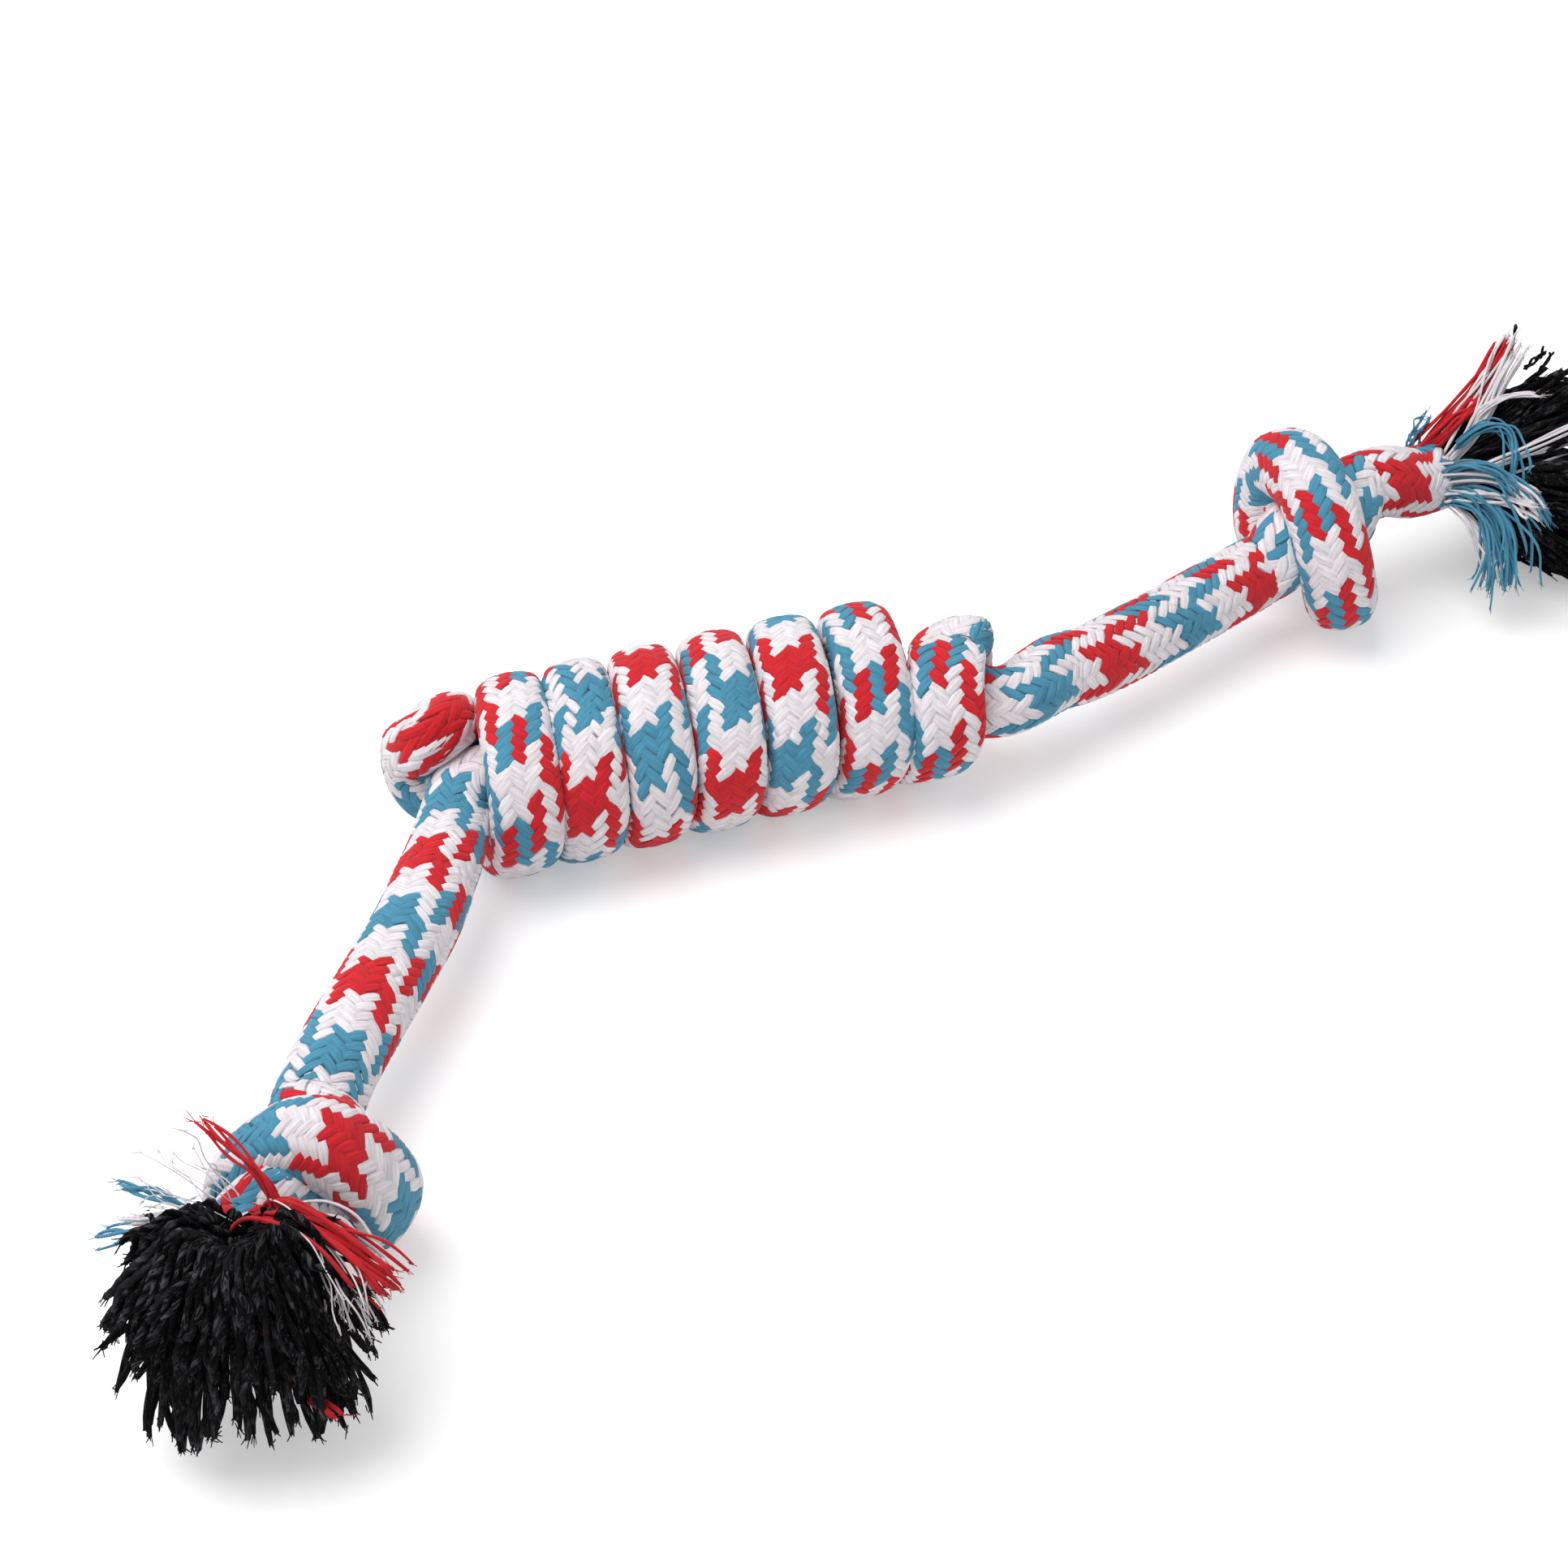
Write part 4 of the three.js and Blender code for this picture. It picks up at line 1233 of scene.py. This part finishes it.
class ToyColours(bpy.types.PropertyGroup):
    """Colours of the cotton and of the floor."""

    red: FloatVectorProperty(
        name="Red", description="Red cotton", subtype="COLOR", default=dyed(210, 36, 46),
        min=0.0, max=1.0)
    blue: FloatVectorProperty(
        name="Blue", description="Blue cotton", subtype="COLOR", default=dyed(80, 150, 180),
        min=0.0, max=1.0)
    white: FloatVectorProperty(
        name="White", description="White cotton", subtype="COLOR", default=dyed(240, 234, 238),
        min=0.0, max=1.0)
    black: FloatVectorProperty(
        name="Black", description="Black cotton", subtype="COLOR", default=dyed(9, 9, 10),
        min=0.0, max=1.0)
    floor: FloatVectorProperty(
        name="Floor", description="Floor and backdrop", subtype="COLOR", default=(0.9, 0.9, 0.9),
        min=0.0, max=1.0)


class StageSizes(bpy.types.PropertyGroup):
    """The camera and the lamps."""

    focal_length: FloatProperty(
        name="Focal length", description="Focal length of the camera in millimetres",
        default=54.04, min=10.0, max=300.0)
    distance: FloatProperty(
        name="Distance", description="Distance from the camera to the middle of the view",
        default=427 * MM, min=0.1, max=3.0, unit="LENGTH")
    elevation: FloatProperty(
        name="Elevation", description="Height of the camera over the floor, as an angle",
        default=math.radians(40), min=0.0, max=math.pi / 2, unit="ROTATION")
    sky: FloatProperty(
        name="Sky", description="Strength of the even light from all round",
        default=0.5, min=0.0, max=2.0)
    key_light: FloatProperty(
        name="Main lamp", description="Power of the large lamp over the toy, in watts",
        default=4.6, min=0.0, max=50.0)


# Operators

def blended(piece, start, end):
    """Bake a piece's transform into its mesh. The rope's places at start and end are looked up, but
    the piece isn't bent between two bodies.
    """
    route.place_at(start)
    route.place_at(end)
    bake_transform(piece)


def yarn_bundle(name, start, end, material):
    """The black core inside a free stretch: yarns laid round one another."""
    sizes = bpy.context.scene.rope_sizes
    reach = np.linspace(start, end, max(int((end - start) / CORE_STEP), 4))
    yarn = sizes.black_yarn * CORE_YARN_SHARE
    lines = []
    for ring, members in CORE_RINGS:
        radius = ring * CORE / 2
        for member in range(members):
            turn = 2 * np.pi * (member / members + reach / CORE_LAY)
            depth = ROPE / 2 - np.full_like(reach, radius)
            lines.append(route.surface(reach, turn, depth))
    parts = Parts()
    draw = np.random.default_rng(11)
    yarn_tubes(np.array(lines), yarn / 2, CORE_TWIST, BLACK_SIDES, 2, BLACK,
               draw.random(len(lines)), parts)
    piece = parts.piece(name, material)
    return piece


class TOY_OT_handle(bpy.types.Operator):
    """Braid the handle: the strand that enters it, the winding and the strand that leaves it"""

    bl_idname = "rope_toy.handle"
    bl_label = "Braid Handle"

    def execute(self, context):
        material = braid_cotton()
        entry = braid("handle_entry_braid", *route.spans["entry"], material)
        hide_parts("handle_entry_strand")
        start, end = route.spans["winding"]
        third = (end - start) / 3
        names = ("handle_winding_right", "handle_winding_middle", "handle_winding_left")
        wound = [braid(name, start + third * count, start + third * (count + 1), material)
                 for count, name in enumerate(names)]
        for piece in wound:
            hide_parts("handle_winding")
        leaving = braid("handle_exit_braid", *route.spans["exit"], material)
        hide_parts("handle_exit_strand")
        for piece in (entry, leaving, *wound):
            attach(piece, "handle")
        return {"FINISHED"}


class TOY_OT_spans(bpy.types.Operator):
    """Braid the free stretches from the handle to the end knots, each round its black core"""

    bl_idname = "rope_toy.spans"
    bl_label = "Braid Spans"

    def execute(self, context):
        for side in ("left", "right"):
            start, end = route.spans[f"{side}_span"]
            if side == "left":
                start, end = end, start
            middle = (start + end) / 2
            bend = BEND_SHARE * (end - middle)
            halves = (
                ("near", start, middle, "handle", f"{side}_rope", start, start + bend),
                ("far", middle, end, f"{side}_rope", f"{side}_end_knot", end - bend, end),
            )
            for half, low, high, first, second, near, far in halves:
                reaches = sorted((low, high))
                jacket = braid(f"{side}_span_braid_{half}", *reaches, braid_cotton())
                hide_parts(f"{side}_span_jacket")
                core = yarn_bundle(f"{side}_span_yarns_{half}", *reaches, black_cotton())
                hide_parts(f"{side}_span_core")
                for piece in (jacket, core):
                    blended(piece, near, far)
        return {"FINISHED"}


class TOY_OT_end_knots(bpy.types.Operator):
    """Braid the two overhand knots and the tails that leave them"""

    bl_idname = "rope_toy.end_knots"
    bl_label = "Braid End Knots"

    def execute(self, context):
        for side, tuft, bend in (("left", LEFT_TUFT, LEFT_FLOP), ("right", RIGHT_TUFT, RIGHT_FLOP)):
            knot = braid(f"{side}_knot_braid", *route.spans[f"{side}_knot"], braid_cotton())
            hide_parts(f"{side}_knot")
            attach(knot, f"{side}_end_knot")
            start, end = route.spans[f"{side}_tail"]
            tail = braid(f"{side}_tail_braid", start, end, braid_cotton())
            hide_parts(f"{side}_tail_jacket")
            core = yarn_bundle(f"{side}_tail_yarns", start, end, black_cotton())
            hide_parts(f"{side}_tail_core")
            for piece in (tail, core):
                flopped(piece, side, tuft, *bend)
        return {"FINISHED"}


def add_fibres(draw, lines, radius, fibres, dye, parts):
    size, length, number = fibres
    ends = frays(draw, lines, radius, length, number)
    yarn_tubes(ends, size, DYED_TWIST, FIBRE_SIDES, 1, dye, draw.random(len(ends)), parts)


def tassel_piece(side, colour, material, parts):
    """All yarns of one colour in a tassel. Those of the left one stand against its knot; their
    transform is baked into their mesh, and they aren't bent away from it as the tassel flops."""
    piece = parts.piece(f"{side}_tassel_{colour}_yarns", material)
    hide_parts(f"{side}_tassel_{colour}")
    if side == "left":
        flopped(piece, side, LEFT_TUFT, *LEFT_FLOP)
    else:
        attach(piece, f"{side}_tassel")


def comb(side, tuft, seed, black, ends, locks):
    """One tassel: its black yarns, the dark ends of some white ones, and its locks of red,
    white and blue yarns."""
    sizes = bpy.context.scene.rope_sizes
    draw = np.random.default_rng(seed)
    count, radius = sizes.black_yarns, sizes.black_yarn / 2
    lines = tuft.out(tuft.yarns(draw, count, *black), radius)
    parts = Parts()
    chances = draw.random(count)
    uneven = radius * (1 + draw.normal(0, 0.1, count))
    yarn_tubes(lines, uneven, BLACK_TWIST, BLACK_SIDES, 2, BLACK, chances, parts)
    add_fibres(draw, lines, radius, BLACK_FIBRES, BLACK, parts)
    for corners, number, spread in ends:
        lines = tuft.out(tuft.lock(draw, corners, number, spread, spread, 0.3 * MM), radius)
        thin = radius * 0.55
        yarn_tubes(lines, thin, DYED_TWIST, DYED_SIDES, 2, BLACK, draw.random(number), parts)
    tassel_piece(side, "black", black_cotton(), parts)
    radius = sizes.dyed_yarn / 2
    for colour, dye, groups in locks:
        parts = Parts()
        for corners, number, thickness, root, tip in groups:
            lines = tuft.lock(draw, corners, number, root, tip, 0.4 * MM)
            lines = tuft.out(lines, radius)
            uneven = radius * thickness * draw.uniform(0.75, 1.15, number)
            yarn_tubes(lines, uneven, DYED_TWIST, DYED_SIDES, 2, dye, draw.random(number), parts)
            add_fibres(draw, lines, radius * thickness, DYED_FIBRES, dye, parts)
        tassel_piece(side, colour, yarn_cotton(), parts)


class TOY_OT_left_tassel(bpy.types.Operator):
    """Comb out the left tassel: a round black pom with red, white and blue yarns behind it"""

    bl_idname = "rope_toy.left_tassel"
    bl_label = "Comb Left Tassel"

    def execute(self, context):
        black = ((40, 150), (0.6, 1.08), (0.0, 0.35), 0.06, 0.8 * MM)
        locks = (
            ("red", RED, (
                (((-1, 1, 4), (-1, 2, 9), (3, 11, 10), (8, 19, 3)), 20, 0.8, 1.8, 2.6),
                (((0, 5, 5), (-1, 5, 11), (-3, 2, 15), (-7, -5, 16.5)), 7, 0.7, 0.7, 0.6),
                (((-1, 4, 3), (2, 10, 8), (5, 18, 6), (6, 23, 1)), 4, 0.7, 1.2, 2.6),
                (((4, 0, -8), (12, 4, -9), (16, 9, -10), (19, 13, -10)), 4, 1.0, 0.8, 1.0),
            )),
            ("white", WHITE, (
                (((-1, -1, 4), (-2, -4, 7), (-3, -7, 8), (-5, -11, 7)), 22, 0.24, 2.6, 5.5),
                (((-1, -2, 3), (-1, -6, 6), (0, -10, 7), (0, -13, 6)), 12, 0.7, 1.4, 1.8),
                (((-1, 3, 4), (1, 9, 7), (5, 13, 6), (10, 16, 1)), 26, 0.35, 2.0, 3.0),
                (((-1, 2, 4), (-1, 9, 8), (-1, 15, 8), (3, 18, 2)), 3, 0.7, 1.0, 1.5),
            )),
            ("blue", BLUE, (
                (((-1, -3, 3), (-2, -8, 6), (-5, -13, 5), (-8.5, -18.5, 2.5)), 4, 0.8, 0.8, 0.9),
                (((-1, -3, 2), (0, -9, 5), (-1, -14, 3), (-2.8, -20, -0.5)), 7, 0.75, 1.0, 1.3),
            )),
        )
        comb("left", LEFT_TUFT, 21, black, (), locks)
        return {"FINISHED"}


class TOY_OT_right_tassel(bpy.types.Operator):
    """Comb out the right tassel: a black brush with red, white and blue yarns round it"""

    bl_idname = "rope_toy.right_tassel"
    bl_label = "Comb Right Tassel"

    def execute(self, context):
        black = ((95, 178), (0.5, 0.98), (0.5, 1.0), 0.04, 0.8 * MM)
        locks = (
            ("red", RED, (
                (((-1, 3, 4), (4, 4, 9), (12, 5.5, 13), (20, 9, 20)), 12, 0.9, 1.6, 1.3),
                (((-1, 2, 5), (3, 2, 9), (7, 3, 11), (11.5, 3.3, 12.5)), 14, 1.0, 1.8, 1.2),
            )),
            ("white", WHITE, (
                (((-1, -3, 4), (6, -3, 8), (11, 2, 13), (20.5, 7.5, 19.5)), 18, 0.85, 0.9, 2.2),
                (((0, 2, 5), (6, 4, 10), (12, 6, 14), (20.5, 9.3, 21)), 6, 0.8, 1.0, 1.0),
                (((-1, -5, 3), (4, -12, 8), (7, -17, 7), (9, -21, 3)), 12, 0.8, 1.2, 1.4),
                (((6, -1, 9), (9, 1, 14), (14, 0, 16), (20.5, -3.4, 15.8)), 6, 0.7, 0.5, 1.2),
                (((-1, -6, 2), (4, -9, 5), (13, -13, 10), (24, -14, 14)), 9, 0.7, 1.0, 2.6),
                (((-1, -7, 0), (1, -11, 3), (5, -18, 4), (8, -21, 3)), 12, 0.8, 1.0, 1.2),
                (((-1, -6, -2), (0, -12, 0), (1, -18, -4), (1, -22, -10)), 6, 0.7, 1.0, 2.0),
            )),
            ("blue", BLUE, (
                (((-1, -5, 3), (4, -12, 9), (7, -18, 7), (10, -22.5, 1)), 9, 0.8, 1.2, 1.4),
                (((2, -3, 8), (9, -3, 15), (12, -9, 13), (7, -14, 6)), 10, 0.7, 0.9, 1.4),
                (((-1, -5, 4), (0, -9, 10), (3, -14, 10), (5, -18, 6)), 8, 0.8, 0.9, 1.0),
                (((-1, -6, -1), (3, -14, 4), (3.5, -21, 0), (2, -23.5, -11)), 34, 0.8, 1.5, 3.6),
                (((-2, 5, 4), (-2, 6, 7), (-1, 6, 8), (1, 7, 9)), 10, 0.6, 1.4, 1.4),
            )),
        )
        ends = (
            (((21, 8.5, 19.5), (22, 9.5, 20.5), (22.6, 10.3, 22), (22.9, 10.7, 23.2)), 2, 0.2),
            (((22.5, 5, 16.5), (24, 5, 17), (25.5, 5, 18), (27, 5.2, 19.3)), 3, 0.5),
            (((25, 4, 15), (26.5, 4.5, 16.5), (27.5, 4.5, 17.5), (29, 5, 18.6)), 2, 0.3),
        )
        comb("right", RIGHT_TUFT, 33, black, ends, locks)
        return {"FINISHED"}


FLOOR_REACH = 3.0
FLOOR_GLOW = 0.34
LAMP_SIZE = 0.7
LAMP_PLACE = Vector((-0.28, 0.05, 0.75))
SENSOR_WIDTH = 36
CLIP_START = 0.01
CAMERA_HEADING = math.radians(19.45)
CAMERA_TARGET = Vector((14.34 * MM, 2.41 * MM, 0))


def seen_directly(nodes):
    """One where the camera sees a surface itself, in a reflection or through something."""
    rays = [nodes.add("ShaderNodeLightPath", {}, {}, output=kind)
            for kind in ("Is Camera Ray", "Is Glossy Ray", "Is Transmission Ray")]
    return (rays[0] + rays[1] + rays[2]).clamped()


def floor_material(colour):
    """A pale floor that glows a little where it is seen, so that its far part stays white."""
    material = bpy.data.materials.new("Pale floor")
    material.use_nodes = True
    nodes = Nodes(material.node_tree)
    seen = seen_directly(nodes)
    grain = nodes.noise(nodes.add("ShaderNodeTexCoord", {}, {}, output="Object"), 60.0, 3.0)
    shader = nodes.add("ShaderNodeBsdfPrincipled", {}, {
        "Base Color": with_alpha(colour),
        "Roughness": (0.85 + grain * 0.1).clamped(),
        "Specular IOR Level": 0.0,
        "Emission Color": LIGHT_WHITE,
        "Emission Strength": 0.0,
    })
    glow = nodes.add("ShaderNodeEmission", {}, {"Color": LIGHT_WHITE, "Strength": FLOOR_GLOW})
    both = nodes.add("ShaderNodeAddShader", {}, {0: shader, 1: glow})
    surface = nodes.add("ShaderNodeMixShader", {}, {0: seen, 1: shader, 2: both})
    nodes.add("ShaderNodeOutputMaterial", {}, {"Surface": surface})
    return material


def set_floor(scene):
    floor_mesh = bpy.data.meshes.new("floor")
    reach = FLOOR_REACH
    corners = [(-reach, -reach, 0), (reach, -reach, 0), (reach, reach, 0), (-reach, reach, 0)]
    floor_mesh.from_pydata(corners, [], [(0, 1, 2, 3)])
    floor = bpy.data.objects.new("floor", floor_mesh)
    scene.collection.objects.link(floor)
    floor_mesh.materials.append(floor_material(scene.toy_colours.floor))


def set_sky(scene):
    """Even light from all round, in front of a white backdrop."""
    world = bpy.data.worlds.new("Studio")
    scene.world = world
    world.use_nodes = True
    nodes = Nodes(world.node_tree)
    seen = seen_directly(nodes)
    strength = scene.stage_sizes.sky
    even = nodes.add("ShaderNodeBackground", {}, {"Color": LIGHT_WHITE, "Strength": strength})
    plain = nodes.add("ShaderNodeBackground", {}, {"Color": LIGHT_WHITE, "Strength": 1.0})
    sky = nodes.add("ShaderNodeMixShader", {}, {0: seen, 1: even, 2: plain})
    nodes.add("ShaderNodeOutputWorld", {}, {"Surface": sky})


def set_lamp(scene):
    lamp_data = bpy.data.lights.new("Main lamp", "AREA")
    lamp_data.shape = "DISK"
    lamp_data.size = LAMP_SIZE
    lamp_data.energy = scene.stage_sizes.key_light
    lamp = bpy.data.objects.new("Main lamp", lamp_data)
    lamp.location = LAMP_PLACE
    lamp.rotation_euler = (-lamp.location).to_track_quat("-Z", "Y").to_euler()
    scene.collection.objects.link(lamp)


def set_camera(scene):
    stage = scene.stage_sizes
    camera_data = bpy.data.cameras.new("Camera")
    camera_data.lens = stage.focal_length
    camera_data.sensor_width = SENSOR_WIDTH
    camera_data.clip_start = CLIP_START
    camera = bpy.data.objects.new("Camera", camera_data)
    away = Vector((math.sin(CAMERA_HEADING), math.cos(CAMERA_HEADING), 0))
    away = away * math.cos(stage.elevation)
    away.z = -math.sin(stage.elevation)
    camera.location = CAMERA_TARGET - away * stage.distance
    camera.rotation_euler = away.to_track_quat("-Z", "Y").to_euler()
    scene.collection.objects.link(camera)
    scene.camera = camera


class TOY_OT_stage(bpy.types.Operator):
    """Set the floor, the lamps and the camera"""

    bl_idname = "rope_toy.stage"
    bl_label = "Set Stage"

    def execute(self, context):
        scene = context.scene
        set_floor(scene)
        set_sky(scene)
        set_lamp(scene)
        set_camera(scene)
        scene.view_settings.view_transform = "Standard"
        return {"FINISHED"}


class TOY_PT_panel(bpy.types.Panel):
    """Buttons that build the toy"""

    bl_idname = "TOY_PT_panel"
    bl_label = "Rope Toy"
    bl_space_type = "VIEW_3D"
    bl_region_type = "UI"
    bl_category = "Rope Toy"

    def draw(self, context):
        for group in (context.scene.rope_sizes, context.scene.toy_colours,
                      context.scene.stage_sizes):
            box = self.layout.box()
            for name in group.__annotations__:
                box.prop(group, name)
        for operator in OPERATORS:
            self.layout.operator(operator.bl_idname)


GROUPS = (RopeSizes, ToyColours, StageSizes)
OPERATORS = (TOY_OT_stage, TOY_OT_handle, TOY_OT_spans, TOY_OT_end_knots, TOY_OT_left_tassel,
             TOY_OT_right_tassel)


def register():
    for kind in (*GROUPS, *OPERATORS, TOY_PT_panel):
        bpy.utils.register_class(kind)
    bpy.types.Scene.rope_sizes = PointerProperty(type=RopeSizes)
    bpy.types.Scene.toy_colours = PointerProperty(type=ToyColours)
    bpy.types.Scene.stage_sizes = PointerProperty(type=StageSizes)


def unregister():
    del bpy.types.Scene.stage_sizes
    del bpy.types.Scene.toy_colours
    del bpy.types.Scene.rope_sizes
    for kind in reversed((*GROUPS, *OPERATORS, TOY_PT_panel)):
        bpy.utils.unregister_class(kind)


def main():
    register()
    bpy.ops.rope_toy.stage()
    bpy.ops.rope_toy.handle()
    bpy.ops.rope_toy.spans()
    bpy.ops.rope_toy.end_knots()
    bpy.ops.rope_toy.left_tassel()
    bpy.ops.rope_toy.right_tassel()


if __name__ == "__main__":
    main()
